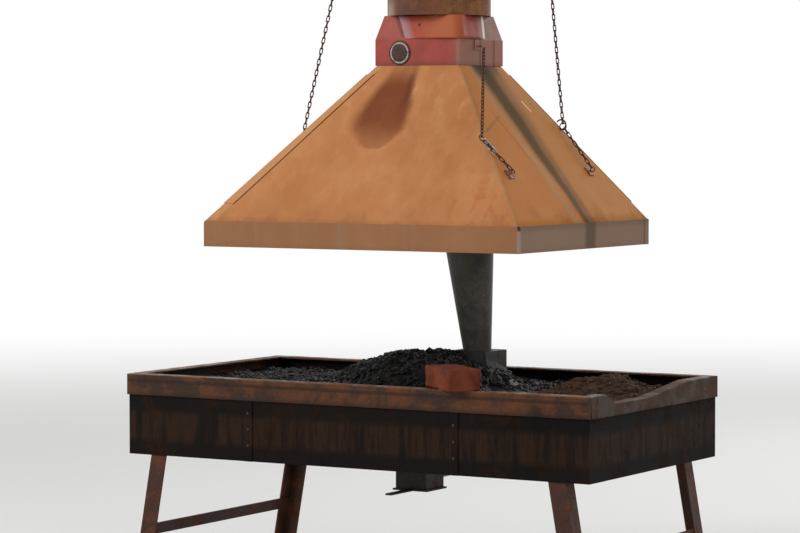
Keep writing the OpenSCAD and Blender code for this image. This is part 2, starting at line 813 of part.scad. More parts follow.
module ash_gate() {
    color(dark_rust) translate([fire_x, fire_y, tuyere_foot - gate_t]) {
        translate([-tuyere_w / 2 - gate_over, -tuyere_w / 2 - gate_over, 0])
            cube([tuyere_w + 2 * gate_over, tuyere_w + 2 * gate_over, gate_t]);
        translate([-handle_w / 2, -tuyere_w / 2 - handle_len, 0]) cube([handle_w, handle_len, gate_t]);
    }
}

// Length of the air pipe behind the hearth
air_stub = 160;

module air_pipe() {
    color(grey_zinc) translate([fire_x, fire_y + tuyere_w / 2, air_z]) rotate([-90, 0, 0]) difference() {
        cylinder(d = air_dia, h = hearth_back + air_stub - fire_y - tuyere_w / 2, $fn = fine);
        translate([0, 0, -over])
            cylinder(d = air_dia - 2 * air_wall, h = hearth_d + air_stub, $fn = fine);
    }
}

// Draught pipe and the shoe that it stands on

// Middle of the shoe
shoe_x = 122;
shoe_y = 130;
// Width, height and wall of the shoe, and the diameter and height of the mouth in its left side
shoe_w = 150;
shoe_h = 158;
shoe_t = 8;
shoe_mouth = 92;
mouth_z = 56;
draught_z = bed_z + shoe_h;
draught_wall = 2;
// Lean of the draught pipe to the left
draught_lean = 5;
// Length that is cut off square at the foot of the leaning pipe
foot_cut = 20;

// Outside radius of the draught pipe at a distance along its axis from its foot
function draught_r(s) = (draught_foot + (draught_head - draught_foot) * s / draught_len) / 2;

module draught_shoe() {
    color("#4a4644") translate([shoe_x, shoe_y, bed_z]) difference() {
        translate([-shoe_w / 2, -shoe_w / 2, 0]) cube([shoe_w, shoe_w, shoe_h]);
        translate([shoe_t - shoe_w / 2, shoe_t - shoe_w / 2, -over])
            cube([shoe_w - 2 * shoe_t, shoe_w - 2 * shoe_t, shoe_h - shoe_t + over]);
        translate([-shoe_w / 2 - over, 0, mouth_z]) rotate([0, 90, 0])
            cylinder(d = shoe_mouth, h = shoe_w / 2, $fn = fine);
        cylinder(d = draught_foot - 2 * draught_wall, h = shoe_h * 2, $fn = fine);
    }
}

module draught_pipe() {
    color(grey_zinc) translate([shoe_x, shoe_y, draught_z]) difference() {
        rotate([0, -draught_lean, 0]) translate([0, 0, -foot_cut]) difference() {
            cylinder(
                r1 = draught_r(-foot_cut), r2 = draught_r(draught_len),
                h = draught_len + foot_cut, $fn = fine
            );
            translate([0, 0, -over]) cylinder(
                r1 = draught_r(-foot_cut - over) - draught_wall,
                r2 = draught_r(draught_len + over) - draught_wall,
                h = draught_len + foot_cut + 2 * over, $fn = fine
            );
        }
        translate([-shoe_w, -shoe_w, gap - 2 * shoe_w]) cube(2 * shoe_w);
    }
}

// Height, width and thickness of the two bars that hold the draught pipe inside the hood
hanger_z = 1452;
hanger_w = 36;
hanger_t = 4;

module draught_hanger() {
    reach = draught_r((hanger_z + hanger_w - draught_z) / cos(draught_lean)) + gap;
    color(dark_rust) for (y = [shoe_y - reach - hanger_t, shoe_y + reach])
        xz_prism(y, y + hanger_t) front_outline(
            hanger_z, hanger_z + hanger_w, level_t(run_left) + gap, level_t(run_right) + gap
        );
}

// Coal and ash

// Thickness of the even layer of coal and ash over the bed plate
layer_h = 30;
// Height and pitch of the low humps in the heaps, and side of the cells that their tops are cut into
hump_h = 18;
hump_pitch = 218;
heap_cell = 42;
// Radius and middle of the foot of each mound, and the height of the ash
coal_mound_r = 380;
coal_mound_x = -20;
coal_mound_y = 20;
ash_mound_r = 225;
ash_mound_h = 105;
ash_mound_y = 40;
// Room left beside the ash mound's foot
mound_inset = 6;
ash_mound_x = inner_x - mound_inset - ash_mound_r;
// Line between the coal and the ash, left to right
heap_split = ash_mound_x - ash_mound_r - mound_inset;

// Height of a rounded mound at a distance from its middle
function mound_z(away, foot_r, h) =
    let (ball_r = (pow(foot_r, 2) + pow(h, 2)) / (2 * h))
    away < foot_r ? sqrt(pow(ball_r, 2) - pow(away, 2)) - ball_r + h : 0;
// Height of the humps from 0 to hump_h
function hump_z(x, y) =
    let (skew = 25 * sin(360 * y / hump_pitch / 3))
    hump_h / 2 * (1 + sin(360 * x / hump_pitch + skew) * sin(360 * y / hump_pitch - skew));
// Height of the heaps above the bed plate
function heap_z(x, y) = hump_z(x, y) + max(
    layer_h,
    mound_z(norm([x - coal_mound_x, y - coal_mound_y]), coal_mound_r, coal_h - hump_h),
    mound_z(norm([x - ash_mound_x, y - ash_mound_y]), ash_mound_r, ash_mound_h - hump_h)
);

// The part of the heaps over a rectangle of the bed plate
module heap_part(x0, x1, y0, y1) {
    nx = ceil((x1 - x0) / heap_cell);
    ny = ceil((y1 - y0) / heap_cell);
    tops = [for (i = [0:nx]) for (j = [0:ny])
        let (x = x0 + (x1 - x0) * i / nx, y = y0 + (y1 - y0) * j / ny) [x, y, heap_z(x, y)]];
    foot = len(tops);
    function at(i, j) = i * (ny + 1) + j;
    polyhedron(
        points = concat(tops, [[x0, y0, 0], [x1, y0, 0], [x1, y1, 0], [x0, y1, 0]]),
        faces = concat(
            [for (i = [0:nx - 1]) for (j = [0:ny - 1]) [at(i, j), at(i, j + 1), at(i + 1, j + 1)]],
            [for (i = [0:nx - 1]) for (j = [0:ny - 1]) [at(i, j), at(i + 1, j + 1), at(i + 1, j)]],
            [concat([foot], [for (i = [0:nx]) at(i, 0)], [foot + 1])],
            [concat([foot + 2], [for (i = [nx:-1:0]) at(i, ny)], [foot + 3])],
            [concat([foot + 3], [for (j = [ny:-1:0]) at(0, j)], [foot])],
            [concat([foot + 1], [for (j = [0:ny]) at(nx, j)], [foot + 2])],
            [[foot, foot + 1, foot + 2, foot + 3]]
        )
    );
}

// The coal, in four parts round the draught shoe
module coal_bed() {
    front = inner_front + gap;
    back = inner_back - gap;
    beside = shoe_w / 2 + gap;
    color("#26221f") translate([0, 0, bed_z]) {
        heap_part(-inner_x + gap, shoe_x - beside, front, back);
        heap_part(shoe_x + beside, heap_split, front, back);
        heap_part(shoe_x - beside + gap, shoe_x + beside - gap, front, shoe_y - beside);
        heap_part(shoe_x - beside + gap, shoe_x + beside - gap, shoe_y + beside, back);
    }
}

module ash_heap() {
    color("#6b5d4c") translate([0, 0, bed_z])
        heap_part(heap_split + gap, inner_x - gap, inner_front + gap, inner_back - gap);
}

// Loose brick across the front rim: its place, turn and size
brick_x = 241;
brick_in = 91;
brick_turn = -41;
brick = [230, 114, 70];

module firebrick() {
    color("#b0573a") translate([brick_x, hearth_front + brick_in, rim_z + gap])
        rotate([0, 0, brick_turn]) cube(brick);
}

hood_front();
hood_back();
hood_left();
hood_right();
skirt_front();
skirt_back();
skirt_left();
skirt_right();
hip_laps();
collar_band();
collar_taper();
collar_patch();
collar_disc();
collar_lug();
flue_lower();
flue_upper();
flue_joint_band();
hood_eyes();
chain_tails();
chain_front_left();
chain_front_right();
chain_back_left();
chain_back_right();
ceiling_eyes();
rim_front();
rim_back();
rim_left();
rim_right();
body_front();
body_back();
body_left();
body_right();
bed_plate();
leg_front_left();
leg_front_right();
leg_back_left();
leg_back_right();
foot_plates();
leg_ties();
fire_pot();
tuyere_box();
ash_gate();
air_pipe();
draught_shoe();
draught_pipe();
draught_hanger();
coal_bed();
ash_heap();
firebrick();
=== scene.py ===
"""The finish of a blacksmith's forge: worn sheet, chain, coal, ash and the studio around it."""

import math
import random

import bmesh
import bpy
from bpy.props import FloatProperty, FloatVectorProperty, IntProperty, PointerProperty
from mathutils import Matrix, Vector, noise
from mathutils.bvhtree import BVHTree


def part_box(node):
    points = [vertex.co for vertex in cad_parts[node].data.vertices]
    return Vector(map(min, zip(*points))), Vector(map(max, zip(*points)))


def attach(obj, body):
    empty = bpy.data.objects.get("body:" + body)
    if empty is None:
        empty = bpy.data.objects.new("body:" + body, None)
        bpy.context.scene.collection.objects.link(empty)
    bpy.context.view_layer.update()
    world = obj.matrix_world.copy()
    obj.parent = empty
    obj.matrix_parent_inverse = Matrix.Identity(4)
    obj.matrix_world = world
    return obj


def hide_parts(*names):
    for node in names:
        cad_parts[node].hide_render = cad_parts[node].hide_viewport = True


bl_info = {
    "name": "Forge With Hung Hood",
    "version": (1, 0, 0),
    "blender": (4, 5, 0),
    "location": "View3D > Sidebar > Forge",
    "description": "Dresses a blacksmith's forge in worn sheet, chain, coal and ash",
    "category": "Add Mesh",
}

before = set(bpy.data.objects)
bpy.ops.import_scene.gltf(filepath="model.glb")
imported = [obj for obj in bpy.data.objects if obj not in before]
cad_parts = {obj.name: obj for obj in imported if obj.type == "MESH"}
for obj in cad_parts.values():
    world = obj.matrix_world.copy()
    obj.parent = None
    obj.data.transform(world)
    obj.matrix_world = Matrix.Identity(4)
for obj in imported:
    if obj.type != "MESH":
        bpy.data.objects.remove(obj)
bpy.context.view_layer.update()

BODY = "root"
SHEET = 0.002

# Places on the frame that the pieces take their size from
BAND_LO, BAND_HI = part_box("collar_band")
TAPER_LO, TAPER_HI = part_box("collar_taper")
FACE_LO, FACE_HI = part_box("hood_front")
BACK_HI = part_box("hood_back")[1]
SKIRT_LO, SKIRT_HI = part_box("skirt_front")
SHOE_LO, SHOE_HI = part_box("draught_shoe")
RIM_LO, RIM_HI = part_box("rim_front")
CEILING_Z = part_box("ceiling_eyes")[1].z

SLOPE_Z = FACE_LO.z
NECK_Z = FACE_HI.z
BAND_Z = BAND_LO.z
RISE = BAND_Z - SLOPE_Z
HEAD_LO = Vector((TAPER_LO.x + SHEET, TAPER_LO.y + SHEET, BAND_Z))
HEAD_HI = Vector((TAPER_HI.x - SHEET, TAPER_HI.y - SHEET, BAND_Z))

# The hood's sheets: how wide a hip is folded, and the cells that its dents need
HIP_FOLD = 0.007
HOOD_CELL = 0.03

# Foot, top and half length of a hip's lap
LAP_FOOT_Z = SLOPE_Z + 0.06
LAP_TOP_Z = BAND_Z - 0.03
LAP_HALF = (LAP_TOP_Z - LAP_FOOT_Z) / 2

# The red-brown oval's foot on the front sheet
MARK_FOOT_Z = 1.562

# The loose patch: its foot, its lean to the back and the end of its right wing
PATCH_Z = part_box("collar_patch")[0].z
PATCH_LEAN = 0.277
PATCH_CORNER = -0.111
PATCH_STRETCH = 3.7
PATCH_END = PATCH_CORNER + 0.042 * PATCH_STRETCH

# Chains, as they hang from the frame's own sheets
WIRE = 0.004
LINK_PITCH = 0.019
LINK_HALF = 0.0026
EYE_R = 0.008
RING_R = 0.012
HOOK_BACK = 0.00215
EYE_STAND = RING_R + WIRE / 2 + 0.001
EYE_Z = SKIRT_LO.z + 0.254
ANCHOR_Z = CEILING_Z - 0.03

# The zinc link on the slack chain, and the open hook at the back
CONNECTOR_PITCH = 0.058
CONNECTOR_HALF = 0.0052
CONNECTOR_WIRE = 0.0046
CONNECTOR_DROP = 0.036
HOOK_WIRE = 0.0052
HOOK_R = 0.017
HOOK_TURN = math.radians(285)
HOOK_AXIS = Vector((0.25, -0.96, 0.1))
HOOK_SHIFT = Vector((-0.008, 0.0, 0.006))

# Plates and straps that carry bolts or rivets
FOOT_PLATE = 0.1
CEILING_PLATE = 0.09
CEILING_THICK = 0.006
CEILING_PLATES = ((-0.016, -0.249), (-0.237, 0.299), (0.237, 0.299))
BOLT_INSET = 0.72  # of a bolt's width, from the plate's edge
STRAP_X = (-0.4, 0.4)
STRAP_SHARES = (0.2, 0.4, 0.6, 0.8)
JOINT_RIVETS = 10

# The flue's beads: their wire, and how far they lie inside the joint band and below the top
BEAD_R = 0.0035
JOINT_BEAD = 0.012
TOP_BEAD = 0.03

# The loose coal and ash: the radius of a large lump and of a clinker, how deep a lump's middle
# lies as a share of its radius, the cells of a heap's top and how far they lie under the node's
LUMP = 0.012
CLINKER = 0.022
LUMP_SINK = 0.25
LUMP_BATCH = 80
HEAP_CELL = 0.014
HEAP_SINK = 0.004

# The stage: each light's name, place and power in watts, and the camera, in degrees and
# millimetres
LIGHTS = (
    ("key_light", (-4.2, -6.0, 5.2), 330.0),
    ("fill_light", (6.5, -3.5, 3.6), 70.0),
    ("back_light", (1.5, 6.5, 4.8), 160.0),
)
LIGHT_SIZE = 4.0
LIGHT_AIM = Vector((0, 0, 1.3))
FLOOR_RADIUS = 60.0
CAMERA_PLACE = (5.196, -8.968, 1.645)
CAMERA_DIP = 2.7
CAMERA_TURN = 30.63
CAMERA_LENS = 135.0
CAMERA_SENSOR = 36.0
WHITE = (1.0, 1.0, 1.0, 1.0)


class Hang:
    """One corner's chains: the side of the hood, the eye's place front to back, the links of the
    short chain, its lean to the back and the point that the long chain runs to."""

    def __init__(self, side, y, links, lean, goal):
        edge, head = (FACE_HI.x, HEAD_HI.x) if side > 0 else (FACE_LO.x, HEAD_LO.x)
        run = abs(edge - head)
        self.links = links
        out = Vector((side * RISE, 0, run)).normalized()
        up = Vector((-side * run, 0, RISE)).normalized()
        self.tail = (up + Vector((0, lean, 0))).normalized()
        sheet_x = edge - side * run * (EYE_Z - SLOPE_Z) / RISE
        self.eye = Vector((sheet_x, y, EYE_Z)) + out * EYE_STAND
        self.ring = self.eye + self.tail * (EYE_R + RING_R - 2 * HOOK_BACK + links * LINK_PITCH)
        reach = Vector(goal) - self.ring
        self.far = reach.normalized()
        self.level = self.tail.cross(self.far).normalized()
        self.long_links = 2 * math.floor(
            (reach.length - RING_R - EYE_R + 2 * HOOK_BACK) / LINK_PITCH / 2) - 1


HANGS = {
    "chain_front_left": Hang(-1, -0.24, 7, 0.12, (-0.005, -0.25, ANCHOR_Z)),
    "chain_front_right": Hang(1, -0.296, 7, -0.42, (TAPER_HI.x + 0.015, 0.01, BAND_HI.z - 0.006)),
    "chain_back_left": Hang(-1, 0.28, 9, 0.0, (-0.233, 0.3, ANCHOR_Z)),
    "chain_back_right": Hang(1, 0.28, 9, 0.0, (0.233, 0.3, ANCHOR_Z)),
}


def srgb(red, green, blue):
    """A colour written as a screen shows it, 0 to 255, made linear."""
    def linear(part):
        part /= 255
        return part / 12.92 if part <= 0.04045 else ((part + 0.055) / 1.055) ** 2.4
    return tuple(linear(part) for part in (red, green, blue))


# Shader values

class Value:
    """A socket of a material. Sums and products of values add the Math nodes for them."""

    def __init__(self, nodes, socket):
        self.nodes = nodes
        self.socket = socket

    def math(self, operation, *others, clamp=False):
        """Adds a Math node that starts from this value."""
        sockets = dict(enumerate((self,) + others))
        return self.nodes.node("ShaderNodeMath", {"operation": operation, "use_clamp": clamp}, sockets)

    def __add__(self, other):
        return self.math("ADD", other)

    __radd__ = __add__

    def __mul__(self, other):
        return self.math("MULTIPLY", other)

    __rmul__ = __mul__

    def __sub__(self, other):
        return self.math("SUBTRACT", other)

    def __rsub__(self, other):
        return self.nodes.node("ShaderNodeMath", {"operation": "SUBTRACT"}, {0: other, 1: self})

    def __truediv__(self, other):
        return self.math("DIVIDE", other)

    def __pow__(self, other):
        return self.math("POWER", other)

    def clamped(self):
        """Kept from 0 to 1."""
        return self.math("ADD", 0.0, clamp=True)

    def larger(self, other):
        return self.math("MAXIMUM", other)

    def size(self):
        """Without its sign."""
        return self.math("ABSOLUTE")

    def between(self, low, high, to_low=0.0, to_high=1.0):
        """Runs smoothly from to_low to to_high as the value goes from low to high."""
        settings = {"interpolation_type": "SMOOTHSTEP", "clamp": True}
        sockets = {0: self, 1: low, 2: high, 3: to_low, 4: to_high}
        return self.nodes.node("ShaderNodeMapRange", settings, sockets)

    def until(self, low, high):
        """1 up to low, falling to 0 at high."""
        return self.between(low, high, 1.0, 0.0)

    def near(self, middle, reach, soft):
        """1 within reach of middle, falling to 0 over soft."""
        return (self - middle).size().until(reach, reach + soft)


class Nodes:
    """The nodes of a material, or of the world, while it is built."""

    def __init__(self, owner):
        owner.use_nodes = True
        self.tree = owner.node_tree
        self.tree.nodes.clear()

    def node(self, kind, settings=None, sockets=None, out=0):
        """Adds any node: its settings first, then the values or links of its sockets."""
        made = self.tree.nodes.new(kind)
        for name, setting in (settings or {}).items():
            setattr(made, name, setting)
        for name, value in (sockets or {}).items():
            if isinstance(value, Value):
                self.tree.links.new(value.socket, made.inputs[name])
            else:
                made.inputs[name].default_value = value
        return Value(self, made.outputs[out]) if made.outputs else None

    def beside(self, value, *names):
        """Other outputs of the node that a value comes from."""
        return [Value(self, value.socket.node.outputs[name]) for name in names]


class Finish(Nodes):
    """One material while it is built, with the colour that it has so far."""

    def __init__(self, name):
        self.material = bpy.data.materials.new(name)
        super().__init__(self.material)
        self.colour = None
        self.place = self.node("ShaderNodeTexCoord", out="Object")
        parts = self.node("ShaderNodeSeparateXYZ", None, {0: self.place})
        self.x, self.y, self.z = self.beside(parts, "X", "Y", "Z")

    def cloud(self, scale, detail=4.0, rough=0.55, stretch=None, warp=0.0, seed=0.0):
        """Soft noise from 0 to 1, on coordinates that may be stretched."""
        place = self.place
        if stretch is not None:
            place = self.node("ShaderNodeMapping", None, {"Vector": place, "Scale": stretch})
        sockets = {"Vector": place, "W": seed, "Scale": scale, "Detail": detail,
                   "Roughness": rough, "Distortion": warp}
        return self.node("ShaderNodeTexNoise", {"noise_dimensions": "4D"}, sockets)

    def runs(self, across, down, seed, detail=6.0):
        """Noise drawn out downwards, as water leaves it on a sheet."""
        return self.cloud(1.0, detail, 0.6, stretch=(across, across, down), seed=seed)

    def blend(self, mask, first, second):
        """Sets the colour to a mix of two."""
        first, second = (c if isinstance(c, Value) else (*c, 1.0) for c in (first, second))
        self.colour = self.node("ShaderNodeMix", {"data_type": "RGBA"}, {0: mask, 6: first, 7: second}, out=2)

    def tint(self, mask, shade):
        """Lays a shade over the colour where the mask is high."""
        self.blend(mask, self.colour, shade)

    def finished(self, rough, bump=None, height=0.001, metallic=0.0, gloss=0.25):
        """Closes the material and returns it."""
        sockets = {"Base Color": self.colour, "Roughness": rough, "Metallic": metallic,
                   "Specular IOR Level": gloss}
        if bump is not None:
            sockets["Normal"] = self.node("ShaderNodeBump", None, {"Distance": height, "Height": bump})
        return self.closed(self.node("ShaderNodeBsdfPrincipled", None, sockets))

    def closed(self, shader):
        """Joins the last shader to the material's output."""
        self.node("ShaderNodeOutputMaterial", None, {"Surface": shader})
        return self.material


# Materials

def scale_and_grime(finish, clean, rust, soot, rust_share, soot_share):
    """Iron that has gone brown: blotches of rust over clean scale, with soot in the hollows."""
    blotch = finish.cloud(9.0, 8.0, 0.62, warp=0.6)
    grain = finish.cloud(70.0, 5.0, 0.6, seed=3.0)
    patches = (blotch * 0.75 + grain * 0.25).between(0.62 - 0.24 * rust_share, 0.72 - 0.24 * rust_share)
    dirt = finish.cloud(4.5, 6.0, 0.6, seed=7.0, warp=0.4)
    finish.blend(patches, clean, rust)
    finish.tint(dirt.between(0.62 - 0.25 * soot_share, 0.78 - 0.2 * soot_share), soot)
    finish.tint(grain.between(0.35, 0.7) * 0.35, soot)
    return patches, grain


def hood_tan(finish, colours):
    """The hood's film of warm brown rust, with the pale runs that water leaves."""
    broad = finish.cloud(3.2, 4.0, 0.5, stretch=(1.0, 1.0, 0.45), warp=0.2)
    middle = finish.cloud(13.0, 7.0, 0.6, stretch=(1.0, 1.0, 0.5), seed=2.0, warp=0.2)
    fine = finish.cloud(90.0, 4.0, 0.6, seed=5.0)
    down = finish.runs(26.0, 1.6, 4.0)
    high = finish.z.between(SLOPE_Z + 0.22, BAND_Z)
    speck = finish.cloud(260.0, 2.0, 0.5, seed=9.0)
    finish.blend(broad.between(0.25, 0.75), colours.hood_deep, colours.hood_warm)
    finish.tint(middle.between(0.38, 0.8) * 0.3, colours.hood_tan)
    finish.tint(down.between(0.48, 0.75) * (0.15 + high * 0.45), colours.hood_tan)
    finish.tint(down.until(0.25, 0.45) * 0.28, colours.hood_deep)
    finish.tint(speck.between(0.6, 0.75) * 0.35, colours.hood_deep)
    return broad, middle, fine, down


def red_brown_mark(finish, colours, on_front, middle, fine):
    """The red-brown oval on the front sheet, which leans to the left towards its foot."""
    wobble = ((middle - 0.5) * 0.05 + (fine - 0.5) * 0.012) * 0.6
    x, z = finish.x + wobble, finish.z + wobble
    centre = 0.003 - z.between(1.655, 1.84, 0.038, 0.012)
    half = (0.048 + z.between(1.66, 1.85, 0.054, 0.004)) * ((z - MARK_FOOT_Z) / 0.07).clamped() ** 0.5
    away = (x - centre) / (half + 0.0005)
    mark = away.until(0.72, 1.1) * away.between(-1.4, -0.7) * on_front
    mark = mark * z.between(1.77, 1.87, 1.0, 0.3) * z.between(MARK_FOOT_Z + 0.003, 1.67, 0.45, 1.0)
    mark = mark * z.between(MARK_FOOT_Z + 0.002, MARK_FOOT_Z + 0.008) * (0.8 + middle * 0.35)
    finish.tint(mark.clamped() * 0.9, colours.red_brown_mark)
    finish.tint(away.near(0.78, 0.1, 0.3) * z.near(1.77, 0.03, 0.06) * on_front * 0.35, srgb(84, 46, 32))


def hip_lap(finish, on_front, share):
    """The shadow line and the paler strip of the flange folded over the left hip."""
    side = finish.x - FACE_LO.x - share * (HEAD_LO.x - FACE_LO.x) - share.between(0.1, 0.92, 0.042, 0.03)
    length = finish.z.near((LAP_FOOT_Z + LAP_TOP_Z) / 2, LAP_HALF, 0.01)
    finish.tint(side.near(0.0015, 0.001, 0.0035) * on_front * length * 0.75, srgb(82, 46, 30))
    finish.tint(side.until(-0.004, -0.001) * on_front * 0.3, srgb(204, 158, 116))


def soot_run(finish, colours, on_right, broad, down):
    """The right sheet's own browns and the olive run of soot down its middle."""
    z = finish.z
    run_y = finish.y + (broad - 0.5) * 0.03 + (down - 0.5) * 0.02
    spread = z.between(SLOPE_Z, BAND_Z, 0.55, 1.25)
    soot = run_y.near(0.012, spread * 0.014, spread * 0.04) * on_right * z.between(SLOPE_Z, BAND_Z, 0.6, 0.9)
    top = z.between(BAND_Z - 0.06, BAND_Z - 0.005) * run_y.near(0.03, 0.07, 0.03) * on_right
    finish.tint(on_right * 0.75, srgb(182, 112, 42))
    finish.tint(run_y.between(0.03, 0.14) * on_right * 0.6, srgb(178, 124, 68))
    finish.tint(run_y.near(-0.058, 0.008, 0.03) * on_right * 0.45, srgb(168, 134, 96))
    finish.tint(run_y.near(0.03, spread * 0.03, spread * 0.075) * on_right * 0.72, srgb(110, 82, 52))
    finish.tint(soot, colours.soot_run)
    finish.tint(top * 0.6, srgb(56, 46, 36))
    return soot


def shade_and_glint(finish, colours, on_right):
    """Painted shade along a crease, the painted shadow of the front right chain and a short painted white
    glint on the right sheet.
    """
    y, z = finish.y, finish.z
    # Painted shade: a darker red-brown line along a crease.
    crease_shade = (y + (z - 1.635) * 0.287 + 0.11).size().until(0.001, 0.006) * on_right * z.near(1.6, 0.07, 0.05)
    # Painted shadow of the front right chain: a soft brown line rising towards the back.
    chain_shadow = (y + 0.249 - (z - 1.625) * 3.0).size().until(0.008, 0.02) * z.near(1.648, 0.024, 0.006)
    # Painted highlight: a short white glint.
    glint = (y - 0.145 + (z - 1.709) * 0.5).size().until(0.003, 0.006) * z.near(1.709, 0.016, 0.004)
    finish.tint(crease_shade * 0.4, colours.red_brown_mark)
    finish.tint(chain_shadow * on_right * 0.4, srgb(120, 84, 56))
    finish.tint(glint * on_right * 0.8, srgb(226, 208, 180))


def hood_material(colours):
    """Sloping sheets: tan rust with a darker red-brown oval on the front and the soot run on the right."""
    finish = Finish("hood_rust")
    broad, middle, fine, down = hood_tan(finish, colours)
    x, y, z = finish.x, finish.y, finish.z
    share = (z - SLOPE_Z) / RISE
    from_front = y - FACE_LO.y - share * (HEAD_LO.y - FACE_LO.y)
    from_right = FACE_HI.x - x - share * (FACE_HI.x - HEAD_HI.x)
    on_front = y.until(-0.13, -0.05)
    on_right = from_right.size().until(0.012, 0.03) * from_front.between(0.001, 0.009)
    red_brown_mark(finish, colours, on_front, middle, fine)
    hip_lap(finish, on_front, share)
    soot = soot_run(finish, colours, on_right, broad, down)
    shade_and_glint(finish, colours, on_right)
    low = z.until(SLOPE_Z, SLOPE_Z + 0.09) * middle.between(0.46, 0.62)
    finish.tint(low * 0.3, colours.red_brown_mark)
    corner = z.until(SLOPE_Z + 0.04, SLOPE_Z + 0.26) * x.between(0.2, 0.42) * on_front * (1.0 - on_right)
    red = finish.cloud(24.0, 5.0, 0.6, stretch=(1.0, 1.0, 0.6), seed=6.0).between(0.52, 0.62)
    finish.tint(corner * red * 0.4, srgb(162, 80, 46))
    # Painted highlight: a paler tan line along the front right hip, where the bent corner catches the light.
    hip = from_right.size().until(0.004, 0.011) * from_front.size().until(0.004, 0.011)
    finish.tint(hip * 0.7, srgb(172, 126, 88))
    rough = 0.68 + (middle - 0.5) * 0.3 + soot * 0.15
    return finish.finished(rough, middle * 0.5 + fine * 0.4 + down * 0.3, 0.0012, gloss=0.08)


def skirt_material(colours):
    """The upright skirt, greyer than the slopes, with the run carried on over it."""
    finish = Finish("skirt_rust")
    _, middle, fine, down = hood_tan(finish, colours)
    x, y, z = finish.x, finish.y, finish.z
    finish.tint(0.62, colours.skirt)
    right = x.between(SKIRT_HI.x - 0.006, SKIRT_HI.x - 0.003)
    finish.tint(right * 0.7, srgb(130, 112, 98))
    # Painted highlight: a pale bluish-grey line down the front right corner of the skirt's lap.
    corner_highlight = right * y.until(SKIRT_LO.y + 0.014, SKIRT_LO.y + 0.026)
    finish.tint(corner_highlight * 0.45, srgb(150, 146, 146))
    shade = right * z.between(SKIRT_HI.z - 0.028, SKIRT_HI.z - 0.004)
    finish.tint(shade * 0.4, srgb(88, 74, 62))
    notch = right * y.until(SKIRT_LO.y + 0.012, SKIRT_LO.y + 0.016)
    finish.tint(notch * z.between(SKIRT_HI.z - 0.016, SKIRT_HI.z - 0.012), srgb(48, 38, 31))
    run_y = y + (down - 0.5) * 0.03
    soot = run_y.near(0.035, 0.022, 0.03) * right
    finish.tint(soot * 0.7, colours.soot_run)
    streak = down.between(0.5, 0.7)
    finish.tint(streak * 0.3, srgb(130, 110, 92))
    edge = z.until(SKIRT_LO.z + 0.004, SKIRT_LO.z + 0.02)
    finish.tint(edge * 0.2, srgb(118, 82, 62))
    return finish.finished(0.68 + (middle - 0.5) * 0.3, middle * 0.5 + fine * 0.5, 0.001, gloss=0.1)


def old_paint(finish, first, second, low, high):
    """Two tones of old paint. Returns its two noises."""
    middle = finish.cloud(26.0, 6.0, 0.6, seed=2.0)
    fine = finish.cloud(150.0, 4.0, 0.6, seed=4.0)
    finish.blend(finish.cloud(7.0, 5.0, 0.55, warp=0.5).between(low, high), first, second)
    return middle, fine


def worn_paint(finish, rough, middle, fine):
    """Rust runs, chips and a dirty foot over old paint, which closes the material."""
    chips = (middle * 0.6 + fine * 0.4).between(0.6, 0.66)
    finish.tint(finish.runs(60.0, 5.0, 3.0, 5.0).between(0.55, 0.75) * 0.3, srgb(126, 76, 62))
    finish.tint(chips * 0.5, srgb(104, 62, 48))
    finish.tint(finish.z.until(BAND_Z, BAND_Z + 0.02) * 0.4, srgb(86, 48, 42))
    return finish.finished(rough, middle * 0.5 + fine * 0.5 - chips * 0.3, 0.0008, gloss=0.18)


def patch_material(colours):
    """The loose patch: orange red, with a painted purple-grey sheen at its left, a painted warm reflection
    across its middle, painted shade on the wing past the corner, and a painted grey sheen and a painted white
    highlight towards its right end.
    """
    finish = Finish("patch_red")
    x, y, z = finish.x, finish.y, finish.z
    middle, fine = old_paint(finish, colours.patch_red, srgb(158, 72, 50), 0.35, 0.65)
    wing = y - (z - PATCH_Z) * PATCH_LEAN
    # Painted reflection: warm orange light across the middle of the front.
    centre = x.near(0.135, 0.03, 0.08) * wing.until(PATCH_CORNER, PATCH_CORNER + 0.02)
    # Painted highlight: a purple-grey sheen at the left end.
    left = (x + (z - PATCH_Z) * 0.5).until(-0.01, 0.035)
    # Painted shade: dark red on the wing past the corner.
    right = wing.between(PATCH_CORNER, PATCH_CORNER + 0.03)
    # Painted sheen: grey towards the right end.
    grey_sheen = wing.between(PATCH_END - 0.06, PATCH_END - 0.03)
    # Painted highlight: a narrow white line along the right end.
    end = wing.between(PATCH_END - 0.022, PATCH_END - 0.012)
    hole = x.near(0.036, 0.004, 0.003) * z.near(1.986, 0.003, 0.003)
    finish.tint(centre * 0.65, srgb(164, 92, 52))
    finish.tint(left * (0.55 + middle * 0.5), srgb(158, 128, 138))
    finish.tint(right * 0.7, srgb(122, 46, 36))
    finish.tint(grey_sheen * 0.6, srgb(138, 108, 102))
    finish.tint(end * 0.9, srgb(222, 206, 196))
    finish.tint(hole * 0.85, srgb(34, 22, 22))
    return worn_paint(finish, 0.46 + middle * 0.25, middle, fine)


